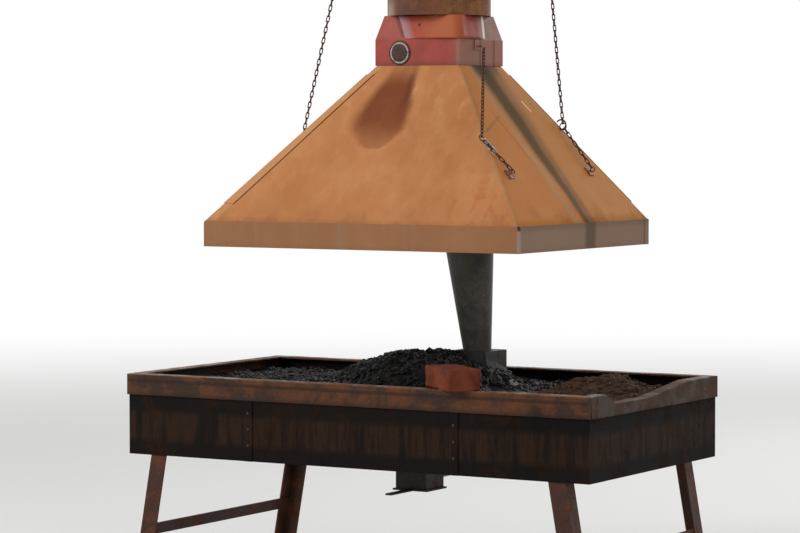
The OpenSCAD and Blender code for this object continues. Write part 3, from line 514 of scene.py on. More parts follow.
def collar_material(colours):
    """Old red paint, dusty on the front and worn to brown on the right side, with a painted shadow beside the
    patch's left edge.
    """
    finish = Finish("collar_red")
    x, y, z = finish.x, finish.y, finish.z
    middle, fine = old_paint(finish, colours.collar_red, srgb(154, 68, 58), 0.35, 0.66)
    upper = z.between(BAND_HI.z, BAND_HI.z + 0.02)
    # Painted shadow: a dark line on the taper beside the patch's left edge, which stands off.
    patch_edge_shadow = (x + (z - PATCH_Z) * 0.5 + 0.022).size().until(0.003, 0.012) * upper
    right = x.between(BAND_HI.x - 0.02, BAND_HI.x - 0.012)
    shade = x.between(TAPER_HI.x - 0.07, TAPER_HI.x - 0.05) * z.between(BAND_HI.z, BAND_HI.z + 0.006)
    seam = right * y.between(0.06, 0.1)
    tone = x.between(0.165, 0.185) * (1.0 - right)
    run = (y - 0.011).size().until(0.002, 0.012) * right
    finish.tint(upper * 0.45, srgb(164, 86, 74))
    finish.tint(patch_edge_shadow * 0.6, srgb(66, 34, 30))
    finish.tint(right * 0.85, srgb(134, 94, 76))
    finish.tint(shade * 0.7, srgb(86, 74, 58))
    finish.tint(seam * 0.6, srgb(140, 92, 80))
    finish.tint(tone * 0.5, srgb(126, 86, 72))
    finish.tint(run * 0.7, srgb(78, 50, 40))
    return worn_paint(finish, 0.52 + (middle - 0.5) * 0.35, middle, fine)


def disc_material():
    """Dark enamel with a pale worn line near its edge."""
    finish = Finish("disc_dark")
    low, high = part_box("collar_disc")
    middle, radius = (low + high) / 2, (high.z - low.z) / 2
    across, up = finish.x - middle.x, finish.z - middle.z
    out = (across * across + up * up) ** 0.5
    worn = finish.cloud(60.0, 5.0, 0.6)
    finish.blend(worn.between(0.4, 0.65) * 0.5, srgb(44, 34, 32), srgb(92, 50, 42))
    line = out.near(radius * 0.8, radius * 0.03, radius * 0.05) * worn.between(0.34, 0.5)
    finish.tint(line * 0.75, srgb(188, 176, 164))
    return finish.finished(0.4 + worn * 0.3, worn, 0.0004)


def flue_material():
    """Mottled ochre rust on the round pipe, pinker near its foot, with painted shade on its left half, a
    painted warm reflection in the ochre across its middle and painted highlights along both edges.
    """
    finish = Finish("flue_rust")
    z = finish.z
    broad = finish.cloud(6.5, 8.0, 0.62, warp=0.8)
    middle = finish.cloud(22.0, 7.0, 0.65, seed=2.0, warp=0.4)
    fine = finish.cloud(120.0, 4.0, 0.6, seed=4.0)
    down = finish.runs(22.0, 2.2, 8.0)
    finish.blend(broad.between(0.38, 0.62), srgb(68, 42, 28), srgb(114, 72, 44))
    finish.tint(middle.between(0.5, 0.66) * 0.75, srgb(140, 94, 58))
    finish.tint(middle.until(0.28, 0.42) * 0.55, srgb(56, 38, 28))
    finish.tint(down.between(0.56, 0.72) * 0.35, srgb(98, 78, 66))
    foot = z.until(TAPER_HI.z + 0.01, TAPER_HI.z + 0.09)
    finish.tint(foot * 0.45, srgb(112, 64, 54))
    low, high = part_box("flue_lower")
    radius = (high.x - low.x) / 2
    # across runs from -1 at the pipe's left edge to 1 at its right edge, as the camera sees the pipe.
    across = ((finish.x - (low.x + radius)) * 0.86 + (finish.y - (low.y + radius)) * 0.51) / radius
    below = z.until(TAPER_HI.z + 0.1, TAPER_HI.z + 0.6)
    # Painted shade on the left half of the pipe, as the camera sees it.
    dim = across.until(-0.85, -0.1) * below
    finish.tint(dim * 0.55, srgb(84, 58, 50))
    # Mottled ochre across the middle and right: partly rust and partly a painted warm reflection.
    ochre = across.near(0.45, 0.25, 0.3) * below * middle.between(0.35, 0.6)
    finish.tint(ochre * 0.6, srgb(136, 94, 54))
    # Painted highlights: a pale sheen on the left edge near the foot, and on the right edge.
    sheen = (across.until(-0.96, -0.8) * foot + across.between(0.9, 0.99) * 0.6) * below
    finish.tint(sheen.clamped() * 0.6, srgb(172, 156, 146))
    return finish.finished(0.55 + middle * 0.3, broad * 0.4 + middle * 0.5 + fine * 0.3, 0.0016, gloss=0.15)


def zinc_material(colours):
    """Dull galvanised sheet with its spangle and a film of soot."""
    finish = Finish("zinc_sheet")
    spangle = finish.node("ShaderNodeTexVoronoi", None, {"Vector": finish.place, "Scale": 70.0}, out="Color")
    flake = finish.node("ShaderNodeRGBToBW", None, {0: spangle})
    broad = finish.cloud(7.0, 6.0, 0.6, warp=0.5)
    down = finish.runs(30.0, 3.0, 3.0)
    # Both zinc colours are partly painted shade of the dark space over the hearth.
    finish.blend(flake, colours.zinc, srgb(84, 83, 77))
    finish.tint(broad.between(0.42, 0.66) * 0.6, srgb(46, 42, 35))
    finish.tint(down.between(0.5, 0.7) * 0.6, srgb(78, 66, 52))
    rough = 0.34 + flake * 0.14 + broad * 0.14
    return finish.finished(rough, flake * 0.2 + broad * 0.5, 0.0006, metallic=0.4)


def iron_material(name, clean, rust, soot, rust_share, soot_share, height=0.0016):
    """Brown iron with rust blotches and soot."""
    finish = Finish(name)
    patches, grain = scale_and_grime(finish, clean, rust, soot, rust_share, soot_share)
    rough = 0.5 + patches * 0.28 + (grain - 0.5) * 0.2
    return finish.finished(rough, patches * 0.5 + grain * 0.6, height, metallic=0.15, gloss=0.18)


def rim_material(colours):
    """The rim's angle iron: polished brown on its top edge, sooty at its foot."""
    finish = Finish("rim_worn")
    z = finish.z
    patches, grain = scale_and_grime(finish, colours.iron, colours.iron_rust, srgb(30, 23, 19), 0.7, 0.35)
    top = z.between(RIM_HI.z - 0.006, RIM_HI.z - 0.001)
    worn = finish.cloud(16.0, 6.0, 0.6, seed=12.0).between(0.38, 0.6)
    finish.tint(top * worn * 0.75, srgb(112, 82, 58))
    band = z.near(RIM_HI.z - 0.022, 0.003, 0.006)
    finish.tint(band * 0.55, srgb(26, 19, 15))
    foot = z.until(RIM_LO.z, RIM_LO.z + 0.02)
    finish.tint(foot * 0.6, srgb(30, 22, 17))
    end = finish.x.between(RIM_HI.x - 0.012, RIM_HI.x - 0.006)
    finish.tint(end * 0.8, srgb(56, 41, 30))
    rough = 0.48 + patches * 0.25 - top * 0.1
    return finish.finished(rough, patches * 0.5 + grain * 0.6, 0.0018, gloss=0.15)


def body_material():
    """The hearth's plates, dark partly from their own iron and partly as painted shade, with a browner
    stretch half way down that is painted light between the rim's shadow and the dark below.
    """
    finish = Finish("body_plate")
    z = finish.z
    # Dark base colours: partly the plates' own iron and partly painted shade of the space under the rim.
    patches, grain = scale_and_grime(finish, srgb(17, 12, 9), srgb(36, 23, 15), srgb(8, 6, 6), 0.5, 0.5)
    down = finish.runs(30.0, 3.0, 5.0)
    # Painted light: a browner band half way down, broken by runs, where the plate is lit between the rim's
    # shadow and the dark below.
    band = z.near(0.608, 0.035, 0.03) * down.between(0.36, 0.6)
    finish.tint(band * 0.6, srgb(54, 36, 24))
    finish.tint(down.between(0.55, 0.66) * 0.5, srgb(13, 10, 9))
    return finish.finished(0.7 + patches * 0.2, patches * 0.5 + grain * 0.6, 0.002, gloss=0.08)


def coal_material(colours):
    """Broken coal: black with small bright faces and grey dust on top."""
    finish = Finish("coal_black")
    lump = finish.cloud(45.0, 6.0, 0.65)
    dust = finish.cloud(14.0, 6.0, 0.6, seed=3.0).between(0.5, 0.72)
    finish.blend(lump.between(0.4, 0.7), colours.coal, srgb(26, 24, 22))
    finish.tint(dust * 0.5, srgb(44, 37, 31))
    rough = 0.42 + dust * 0.4 + lump * 0.2
    return finish.finished(rough, lump, 0.003, gloss=0.16)


def ash_material(colours):
    """Grey-brown ash and clinker."""
    finish = Finish("ash_grey")
    lump = finish.cloud(40.0, 7.0, 0.65)
    patch = finish.cloud(9.0, 5.0, 0.6, seed=2.0, warp=0.4)
    # Both ash colours are partly painted shade of the hearth under the hood.
    finish.blend(patch.between(0.36, 0.64), colours.ash, srgb(58, 43, 32))
    finish.tint(lump.between(0.52, 0.7) * 0.7, srgb(106, 84, 64))
    finish.tint(lump.until(0.3, 0.42) * 0.8, srgb(24, 18, 14))
    return finish.finished(0.85, lump, 0.004, gloss=0.1)


def brick_material(colours):
    """Orange-red firebrick, chipped and smoked."""
    finish = Finish("firebrick_red")
    broad = finish.cloud(16.0, 6.0, 0.6, warp=0.4)
    grain = finish.cloud(160.0, 5.0, 0.65, seed=3.0)
    # Both brick colours are laid darker than the brick's own, partly as painted shade of the hearth under the
    # hood.
    finish.blend(broad.between(0.36, 0.64), colours.brick, srgb(112, 57, 37))
    finish.tint(grain.between(0.56, 0.7) * 0.5, srgb(132, 82, 60))
    smoke = finish.cloud(11.0, 5.0, 0.6, seed=6.0).between(0.52, 0.7)
    finish.tint(smoke * 0.7, srgb(50, 32, 26))
    return finish.finished(0.86, broad * 0.5 + grain * 0.6, 0.0018, gloss=0.1)


def chain_material(colours):
    """Dark chain, rust-red in the bends."""
    finish = Finish("chain_rust")
    spots = finish.cloud(120.0, 4.0, 0.6)
    length = finish.cloud(9.0, 4.0, 0.6, seed=4.0)
    finish.blend(spots.between(0.4, 0.62), colours.chain, srgb(94, 54, 36))
    finish.tint(length.between(0.5, 0.66) * 0.5, srgb(36, 29, 26))
    return finish.finished(0.55 + spots * 0.25, spots, 0.0006, metallic=0.3)


def link_zinc_material():
    """Zinc on the long link of the slack chain, gone white in places."""
    finish = Finish("bolt_zinc")
    bloom = finish.cloud(90.0, 5.0, 0.6)
    finish.blend(bloom.between(0.42, 0.62), srgb(128, 124, 116), srgb(190, 186, 176))
    return finish.finished(0.42 + bloom * 0.3, bloom, 0.0004, metallic=0.6)


# Mesh helpers

def mesh_from(builder, name):
    """Ends a bmesh and gives its mesh."""
    mesh = bpy.data.meshes.new(name)
    builder.to_mesh(mesh)
    builder.free()
    return mesh


def piece_from(builder, name, material, replaced=(), smooth=False, inside=None):
    """Makes a bmesh a finished piece that rides on the forge. Faces with the material index 1 take
    the material for the inside."""
    mesh = mesh_from(builder, name)
    mesh.materials.append(material)
    if inside is not None:
        mesh.materials.append(inside)
    piece = bpy.data.objects.new(name, mesh)
    bpy.context.scene.collection.objects.link(piece)
    if smooth:
        mesh.shade_smooth()
    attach(piece, BODY)
    if replaced:
        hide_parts(*replaced)


def paint(material, *nodes):
    """Gives CAD nodes whose shape is right their finish."""
    for node in nodes:
        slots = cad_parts[node].data.materials
        slots.clear()
        slots.append(material)


def rectangle(builder, low, high, z):
    """A loop of four edges at one height, and its corners."""
    corners = [builder.verts.new((x, y, z)) for x, y in (
        (low.x, low.y), (high.x, low.y), (high.x, high.y), (low.x, high.y))]
    for first, second in zip(corners, corners[1:] + corners[:1]):
        builder.edges.new((first, second))
    return corners


def face_between(builder, lower, upper):
    """The four walls between two loops of corners."""
    for i, corner in enumerate(lower):
        j = (i + 1) % len(lower)
        builder.faces.new((corner, lower[j], upper[j], upper[i]))


def out_of(builder):
    """Points all faces outwards."""
    bmesh.ops.recalc_face_normals(builder, faces=builder.faces)


def verts_of(geometry):
    """The corners in what an operator returns."""
    return [item for item in geometry if isinstance(item, bmesh.types.BMVert)]


def edges_of(geometry):
    """The edges in what an operator returns."""
    return [item for item in geometry if isinstance(item, bmesh.types.BMEdge)]


def rims_of(builder):
    """The edges of an open shape's rims."""
    return [edge for edge in builder.edges if edge.is_boundary]


def held(number):
    """A number kept from 0 to 1."""
    return max(0.0, min(1.0, number))


def ripple(place, scale, seed):
    """Smooth noise from -1 to 1 at a place."""
    return noise.noise(Vector(place) * scale + Vector((seed, seed * 1.7, seed * 0.6)))


def place_copy(builder, template, matrix):
    """Adds a copy of a small mesh, turned and moved by a matrix."""
    copy = template.copy()
    copy.transform(matrix)
    builder.from_mesh(copy)
    bpy.data.meshes.remove(copy)


def placed(place, forward, side):
    """A matrix that moves to a place and turns X to forward and Y to side."""
    turn = Matrix((forward, side, forward.cross(side))).transposed()
    return Matrix.Translation(place) @ turn.to_4x4()


def wire_end(builder, radius, matrix, segments=8):
    """A circle as wide as a wire, turned and moved by a matrix. Returns its corners and edges."""
    corners = bmesh.ops.create_circle(builder, cap_ends=False, radius=radius, segments=segments)["verts"]
    bmesh.ops.transform(builder, matrix=matrix, verts=corners)
    return corners + list(dict.fromkeys(edge for corner in corners for edge in corner.link_edges))


def swept(builder, end, middle, axis, angle, steps):
    """Sweeps the end of a wire round an axis and returns the geometry that it stops at."""
    full = angle == math.tau
    made = bmesh.ops.spin(builder, geom=end, cent=middle, axis=axis, angle=angle, steps=steps,
                          use_merge=full, use_duplicate=False)
    return made["geom_last"]


def node_copy(*nodes):
    """The merged shapes of CAD nodes, with their flat faces whole again."""
    builder = bmesh.new()
    for node in nodes:
        builder.from_mesh(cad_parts[node].data)
    bmesh.ops.remove_doubles(builder, verts=builder.verts, dist=2e-5)
    bmesh.ops.dissolve_limit(builder, angle_limit=math.radians(1), verts=builder.verts, edges=builder.edges)
    return builder


def soften(builder, width, segments=2):
    """Bevels the edges that turn by more than 30 degrees."""
    sharp = [e for e in builder.edges
             if len(e.link_faces) == 2 and e.calc_face_angle(0.0) > math.radians(30)]
    bmesh.ops.bevel(builder, geom=sharp, offset=width, offset_type="OFFSET", segments=segments,
                    profile=0.5, affect="EDGES", material=-1, clamp_overlap=True)


def slice_up(builder, pitch, axes=(0, 1, 2)):
    """Cuts a shape by planes square to the axes, so that it can be bent."""
    for axis in axes:
        places = [v.co[axis] for v in builder.verts]
        start, end = min(places), max(places)
        count = max(1, round((end - start) / pitch))
        normal = Vector((0, 0, 0))
        normal[axis] = 1
        for i in range(1, count):
            place = Vector((0, 0, 0))
            place[axis] = start + (end - start) * i / count
            geometry = builder.verts[:] + builder.edges[:] + builder.faces[:]
            bmesh.ops.bisect_plane(builder, geom=geometry, dist=1e-5, plane_co=place, plane_no=normal)


def wear(builder, depth, scale, seed):
    """Moves each point a little along its normal."""
    builder.normal_update()
    moved = [(v, v.normal * depth * ripple(v.co, scale, seed)) for v in builder.verts]
    for vert, step in moved:
        vert.co += step


# Sizes and colours

class ForgeSizes(bpy.types.PropertyGroup):
    dent: FloatProperty(
        name="Dent", description="Depth of the soft dents in the hood's sheets",
        default=0.0035, min=0.0, max=0.01, unit="LENGTH")
    rivet: FloatProperty(
        name="Rivet head", description="Diameter of the rivet heads", default=0.011, unit="LENGTH")
    bolt: FloatProperty(
        name="Bolt head", description="Width across the bolt heads", default=0.015, unit="LENGTH")
    coal_lumps: IntProperty(
        name="Coal lumps", description="Number of loose lumps on the coal", default=3200, min=0)
    ash_lumps: IntProperty(
        name="Ash lumps", description="Number of loose lumps on the ash", default=1400, min=0)
    clinkers: IntProperty(
        name="Clinkers", description="Number of large lumps in the ash", default=36, min=0)


def colour_property(name, description, shade):
    """A colour that the panel shows."""
    return FloatVectorProperty(
        name=name, description=description, subtype="COLOR", size=3, min=0.0, max=1.0, default=shade)


class ForgeColours(bpy.types.PropertyGroup):
    hood_warm: colour_property("Hood, warm", "Warm brown of the hood", srgb(184, 124, 78))
    hood_deep: colour_property("Hood, deep", "Deeper brown of the hood", srgb(166, 106, 64))
    hood_tan: colour_property("Hood, tan", "Pale runs on the hood", srgb(206, 156, 108))
    red_brown_mark: colour_property("Red-brown mark", "Red-brown mark on the front sheet", srgb(108, 52, 31))
    soot_run: colour_property("Soot run", "Olive soot on the right sheet", srgb(76, 62, 42))
    skirt: colour_property("Skirt", "Greyer brown of the skirt", srgb(112, 84, 64))
    collar_red: colour_property("Collar red", "Dusty red paint of the collar", srgb(134, 58, 52))
    patch_red: colour_property("Patch red", "Orange red of the loose patch", srgb(148, 60, 44))
    # Laid darker than clean zinc: partly the pipes' own soot and partly painted shade of the dark space over
    # the hearth.
    zinc: colour_property("Zinc", "Dull galvanised sheet", srgb(60, 57, 51))
    # The rim's iron and rust are laid darker than clean iron: partly the iron's own brown and partly painted
    # shade of the hearth under the hood.
    iron: colour_property("Iron", "Brown of the rim's iron", srgb(56, 36, 24))
    iron_rust: colour_property("Iron rust", "Rust on the rim and legs", srgb(92, 55, 34))
    chain: colour_property("Chain", "Dark brown of the chains", srgb(54, 38, 30))
    coal: colour_property("Coal", "Black of the coal", srgb(12, 11, 11))
    # Partly the ash's own brown-grey and partly painted shade of the hearth under the hood.
    ash: colour_property("Ash", "Brown-grey of the ash", srgb(76, 57, 43))
    # Partly the brick's own orange-red and partly painted shade of the hearth under the hood.
    brick: colour_property("Brick", "Orange-red of the brick", srgb(96, 46, 31))
    floor: colour_property("Floor", "Pale studio floor", srgb(236, 236, 234))


# Operators

class FORGE_OT_hood(bpy.types.Operator):
    """Adds the sloping hood with its soft dents, over the flat sheets"""
    bl_idname = "forge.hood"
    bl_label = "Hood"

    def execute(self, context):
        material = hood_material(context.scene.forge_colours)
        builder = bmesh.new()
        step = (NECK_Z - SLOPE_Z) / RISE
        low = Vector((FACE_LO.x, FACE_LO.y, 0))
        high = Vector((FACE_HI.x, BACK_HI.y, 0))
        neck_low, neck_high = low.lerp(HEAD_LO, step), high.lerp(HEAD_HI, step)
        foot = rectangle(builder, low, high, SLOPE_Z)
        head = rectangle(builder, neck_low, neck_high, NECK_Z)
        face_between(builder, foot, head)
        out_of(builder)
        hips = [e for e in builder.edges if len(e.link_faces) == 2]
        bmesh.ops.bevel(builder, geom=hips, offset=HIP_FOLD, offset_type="OFFSET", segments=3,
                        profile=0.5, affect="EDGES", material=-1)
        slice_up(builder, HOOD_CELL)
        self.dent(builder, context.scene.forge_sizes.dent)
        bmesh.ops.solidify(builder, geom=builder.faces[:], thickness=SHEET)
        out_of(builder)
        builder.normal_update()
        for face in builder.faces:
            face.material_index = 1 if face.normal.z < -0.1 else 0
        soot = iron_material("hood_soot", srgb(40, 30, 24), srgb(78, 50, 34), srgb(20, 17, 16), 0.4, 0.6)
        piece_from(builder, "hood_skin", material,
                   ("hood_front", "hood_back", "hood_left", "hood_right"), smooth=True, inside=soot)
        paint(material, "hip_laps")
        return {"FINISHED"}

    def dent(self, builder, depth):
        """Moves each point of a sheet along its normal, less near the sheet's edges."""
        builder.normal_update()
        for vert in builder.verts:
            share = (vert.co.z - SLOPE_Z) / RISE
            left = FACE_LO.x + (HEAD_LO.x - FACE_LO.x) * share
            right = FACE_HI.x + (HEAD_HI.x - FACE_HI.x) * share
            front = FACE_LO.y + (HEAD_LO.y - FACE_LO.y) * share
            back = BACK_HI.y + (HEAD_HI.y - BACK_HI.y) * share
            to_x = min(vert.co.x - left, right - vert.co.x)
            to_y = min(vert.co.y - front, back - vert.co.y)
            to_hip = max(to_x, to_y)
            to_end = min(vert.co.z - SLOPE_Z, BAND_Z - vert.co.z)
            fade = held((to_hip - 0.035) / 0.12) * held(to_end / 0.1)
            wave = ripple(vert.co, 3.4, 3.0) + 0.4 * ripple(vert.co, 9.0, 8.0)
            vert.co += vert.normal * depth * fade * wave


class FORGE_OT_skirt(bpy.types.Operator):
    """Finishes the skirt's sheets"""
    bl_idname = "forge.skirt"
    bl_label = "Skirt"

    def execute(self, context):
        material = skirt_material(context.scene.forge_colours)
        paint(material, "skirt_front", "skirt_back", "skirt_left", "skirt_right")
        return {"FINISHED"}


class FORGE_OT_collar(bpy.types.Operator):
    """Finishes the collar, its loose patch and its plain disc"""
    bl_idname = "forge.collar"
    bl_label = "Collar"

    def execute(self, context):
        colours = context.scene.forge_colours
        paint(collar_material(colours), "collar_band", "collar_taper", "collar_lug")
        patch = node_copy("collar_patch")
        for vert in patch.verts:
            corner = PATCH_CORNER + (vert.co.z - PATCH_Z) * PATCH_LEAN
            vert.co.y += max(0.0, vert.co.y - corner) * (PATCH_STRETCH - 1)
        slice_up(patch, 0.008)
        wear(patch, 0.0016, 22.0, 4.0)
        out_of(patch)
        piece_from(patch, "loose_patch", patch_material(colours),
                   ("collar_patch",), smooth=True)
        paint(disc_material(), "collar_disc")
        return {"FINISHED"}


class FORGE_OT_flue(bpy.types.Operator):
    """Finishes the flue and adds its rolled beads"""
    bl_idname = "forge.flue"
    bl_label = "Flue"

    def execute(self, context):
        material = flue_material()
        paint(material, "flue_lower", "flue_upper", "flue_joint_band")
        low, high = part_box("flue_lower")
        joint_low, joint_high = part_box("flue_joint_band")
        middle = Vector(((low.x + high.x) / 2, (low.y + high.y) / 2, 0))
        pipe_radius, band_radius = (high.x - low.x) / 2, (joint_high.x - joint_low.x) / 2
        beads = ((joint_low.z + JOINT_BEAD, band_radius), (joint_high.z - JOINT_BEAD, band_radius),
                 (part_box("flue_upper")[1].z - TOP_BEAD, pipe_radius))
        builder = bmesh.new()
        for z, radius in beads:
            place = Matrix.Translation(middle + Vector((radius, 0, z)))
            end = wire_end(builder, BEAD_R, place @ Matrix.Rotation(math.pi / 2, 4, "X"), 10)
            swept(builder, end, middle, (0, 0, 1), math.tau, 96)
        out_of(builder)
        piece_from(builder, "flue_beads", material, smooth=True)
        return {"FINISHED"}


class FORGE_OT_chains(bpy.types.Operator):
    """Adds the chains link by link, the joining rings and the hook, and finishes the eyes"""
    bl_idname = "forge.chains"
    bl_label = "Chains"

    def execute(self, context):
        colours = context.scene.forge_colours
        material = chain_material(colours)
        link = self.link()
        tails = bmesh.new()
        for name, hang in HANGS.items():
            tail, far, level = hang.tail, hang.far, hang.level
            self.run(tails, link, hang.eye + tail * (EYE_R - HOOK_BACK), tail, level, hang.links)
            self.ring(tails, hang.ring, level)
            chain = bmesh.new()
            self.run(chain, link, hang.ring + far * (RING_R - HOOK_BACK), far, level, hang.long_links)
            out_of(chain)
            piece_from(chain, name + "_links", material, (name,), smooth=True)
        out_of(tails)
        piece_from(tails, "tail_links", material, ("chain_tails",), smooth=True)
        bpy.data.meshes.remove(link)
        self.connector(HANGS["chain_front_right"])
        self.open_hook(HANGS["chain_back_right"], material)
        paint(iron_material("eye_rust", srgb(136, 84, 52), srgb(92, 52, 34), srgb(66, 44, 32),
                            0.5, 0.3, 0.0004), "hood_eyes")
        paint(iron_material("plate_dark", srgb(58, 46, 40), srgb(112, 74, 52), srgb(34, 28, 26),
                            0.5, 0.4), "ceiling_eyes")
        return {"FINISHED"}

    def link(self, pitch=LINK_PITCH, half=LINK_HALF, wire=WIRE):
        """One link of round wire, lying along X in the XY plane."""
        straight = pitch / 2 - half
        start = Matrix.Translation((straight, -half - wire / 2, 0)) @ Matrix.Rotation(math.pi / 2, 4, "Y")
        builder = bmesh.new()
        first = wire_end(builder, wire / 2, start)
        last = self.half_turn(builder, first, straight)
        drawn = bmesh.ops.extrude_edge_only(builder, edges=edges_of(last))["geom"]
        moved = verts_of(drawn)
        bmesh.ops.translate(builder, verts=moved, vec=(-2 * straight, 0, 0))
        rim = [edge for edge in edges_of(drawn) if edge.is_boundary]
        last = self.half_turn(builder, moved + rim, -straight)
        bmesh.ops.bridge_loops(builder, edges=edges_of(first) + edges_of(last))
        return mesh_from(builder, "link")

    def half_turn(self, builder, end, x):
        """Bends a wire's end half way round a link's end."""
        return swept(builder, end, (x, 0, 0), (0, 0, 1), math.pi, 6)

    def run(self, builder, link, start, forward, level, count):
        """A taut run of links, each turned a quarter from the last."""
        cross = forward.cross(level)
        for i in range(count):
            middle = start + forward * LINK_PITCH * (i + 0.5)
            place_copy(builder, link, placed(middle, forward, cross if i % 2 else level))

    def ring(self, builder, middle, axis):
        """A joining ring of the chain's wire round an axis."""
        out = axis.orthogonal().normalized()
        end = wire_end(builder, WIRE / 2, placed(middle + out * RING_R, out, axis))
        swept(builder, end, middle, axis, math.tau, 24)

    def connector(self, hang):
        """The long zinc link that doubles the slack chain below its joining ring."""
        builder = bmesh.new()
        oval = self.link(CONNECTOR_PITCH, CONNECTOR_HALF, CONNECTOR_WIRE)
        place_copy(builder, oval, placed(hang.ring - hang.tail * CONNECTOR_DROP, hang.tail, hang.level))
        bpy.data.meshes.remove(oval)
        out_of(builder)
        piece_from(builder, "chain_connector", link_zinc_material(), smooth=True)

    def open_hook(self, hang, material):
        """The open hook at the back chain's joining ring."""
        builder = bmesh.new()
        axis = HOOK_AXIS.normalized()
        out = axis.orthogonal().normalized()
        middle = hang.ring + HOOK_SHIFT
        end = wire_end(builder, HOOK_WIRE / 2, placed(middle + out * HOOK_R, out, axis))
        swept(builder, end, middle, axis, HOOK_TURN, 18)
        bmesh.ops.holes_fill(builder, edges=rims_of(builder), sides=0)
        out_of(builder)
        piece_from(builder, "back_hook", material, smooth=True)


class FORGE_OT_hearth(bpy.types.Operator):
    """Finishes the rim, the body's plates, the bed plate and the legs"""
    bl_idname = "forge.hearth"
    bl_label = "Hearth"

    def execute(self, context):
        colours = context.scene.forge_colours
        rim = node_copy("rim_front", "rim_back", "rim_left", "rim_right")
        soften(rim, 0.0014)
        slice_up(rim, 0.03, (0, 1))
        wear(rim, 0.0009, 30.0, 2.0)
        out_of(rim)
        piece_from(rim, "worn_rim", rim_material(colours),
                   ("rim_front", "rim_back", "rim_left", "rim_right"))
        paint(body_material(), "body_front", "body_back", "body_left", "body_right", "bed_plate")
        legs = iron_material("leg_rust", srgb(66, 42, 33), srgb(94, 55, 39), srgb(33, 24, 21), 0.6, 0.4)
        paint(legs, "leg_front_left", "leg_front_right", "leg_back_left", "leg_back_right",
              "foot_plates", "leg_ties")
        return {"FINISHED"}


class Ground:
    """The top of a heap's node, found by rays from above. Where a ray meets no top, the last height
    that was found stands in."""

    def __init__(self, node):
        self.low, self.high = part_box(node)
        solid = bmesh.new()
        solid.from_mesh(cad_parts[node].data)
        self.tree = BVHTree.FromBMesh(solid)
        solid.free()
        self.last = self.low.z + 0.03

    def top(self, x, y):
        """Height of the top at a place."""
        hit = self.tree.ray_cast(Vector((x, y, self.high.z + 0.1)), Vector((0, 0, -1)))[0]
        if hit is not None and hit.z > self.low.z + 0.005:
            self.last = hit.z
        return self.last


def in_shoe(x, y, room):
    """Whether a place is inside the draught shoe or nearer to it than the room."""
    return SHOE_LO.x - room < x < SHOE_HI.x + room and SHOE_LO.y - room < y < SHOE_HI.y + room


class FORGE_OT_fire(bpy.types.Operator):
    """Adds the coal, the ash and the loose brick"""
    bl_idname = "forge.fire"
    bl_label = "Coal, ash and brick"

    def execute(self, context):
        scene = context.scene
        rng = random.Random(7)
        coal = coal_material(scene.forge_colours)
        ash = ash_material(scene.forge_colours)
        sizes = scene.forge_sizes
        self.heap("coal_heap", coal, "coal", "coal_bed", rng, ((sizes.coal_lumps, LUMP),))
        self.heap("ash_heap_loose", ash, "ash", "ash_heap", rng,
                  ((sizes.ash_lumps, LUMP), (sizes.clinkers, CLINKER)))
        brick = node_copy("firebrick")
        soften(brick, 0.005, 3)
        slice_up(brick, 0.007)
        wear(brick, 0.0022, 34.0, 5.0)
        wear(brick, 0.0008, 120.0, 9.0)
        out_of(brick)
        piece_from(brick, "worn_brick", brick_material(scene.forge_colours),
                   ("firebrick",), smooth=True)
        return {"FINISHED"}

    def heap(self, name, material, slot, node, rng, kinds):
        """A heap over a node: its own top made rough, and loose lumps half sunk in it."""
        ground = Ground(node)
        builder = self.rough_top(ground)
        for count, lump in kinds:
            for start in range(0, count, LUMP_BATCH):
                self.lumps(builder, rng, min(LUMP_BATCH, count - start), lump, ground)
        piece_from(builder, name, material, (node,))

    def rough_top(self, ground):
        """A closed block under the node's top, which is made uneven."""
        low, high = ground.low, ground.high
        span, middle = high - low, (low + high) / 2
        builder = bmesh.new()
        bmesh.ops.create_grid(builder, x_segments=round(span.x / HEAP_CELL),
                              y_segments=round(span.y / HEAP_CELL), size=0.5)
        bmesh.ops.scale(builder, vec=(span.x, span.y, 1), verts=builder.verts)
        bmesh.ops.translate(builder, vec=(middle.x, middle.y, 0), verts=builder.verts)
        for vert in builder.verts:
            x = min(max(vert.co.x, low.x + 0.001), high.x - 0.001)
            y = min(max(vert.co.y, low.y + 0.001), high.y - 0.001)
            rough = 0.004 * ripple((x, y, 0), 26, 2.0) + 0.003 * ripple((x, y, 0), 60, 5.0)
            vert.co.z = ground.top(x, y) - HEAP_SINK + rough
        drawn = bmesh.ops.extrude_edge_only(builder, edges=rims_of(builder))["geom"]
        for vert in verts_of(drawn):
            vert.co.z = low.z
        bmesh.ops.holes_fill(builder, edges=rims_of(builder), sides=0)
        out_of(builder)
        return builder

    def lumps(self, heap, rng, count, lump, ground):
        """A batch of loose lumps, made by themselves and then joined to the heap."""
        low, high = ground.low, ground.high
        builder = bmesh.new()
        for _ in range(count):
            x = rng.uniform(low.x + 0.02, high.x - 0.02)
            y = rng.uniform(low.y + 0.02, high.y - 0.02)
            size = lump * rng.uniform(0.5, 1.0) * (1 + 0.9 * rng.random() ** 5)
            squash = (rng.uniform(0.7, 1.3), rng.uniform(0.7, 1.3), rng.uniform(0.55, 0.95))
            round_z = Matrix.Rotation(rng.uniform(0, math.tau), 3, "Z")
            turn = round_z @ Matrix.Rotation(rng.uniform(-0.6, 0.6), 3, "X")
            if in_shoe(x, y, size):
                continue
            middle = Vector((x, y, ground.top(x, y) - size * LUMP_SINK))
            for vert in bmesh.ops.create_icosphere(builder, subdivisions=1, radius=size)["verts"]:
                jagged = Vector([a * b * rng.uniform(0.72, 1.15) for a, b in zip(vert.co, squash)])
                vert.co = middle + turn @ jagged
        mesh = mesh_from(builder, "lumps")
        heap.from_mesh(mesh)
        bpy.data.meshes.remove(mesh)


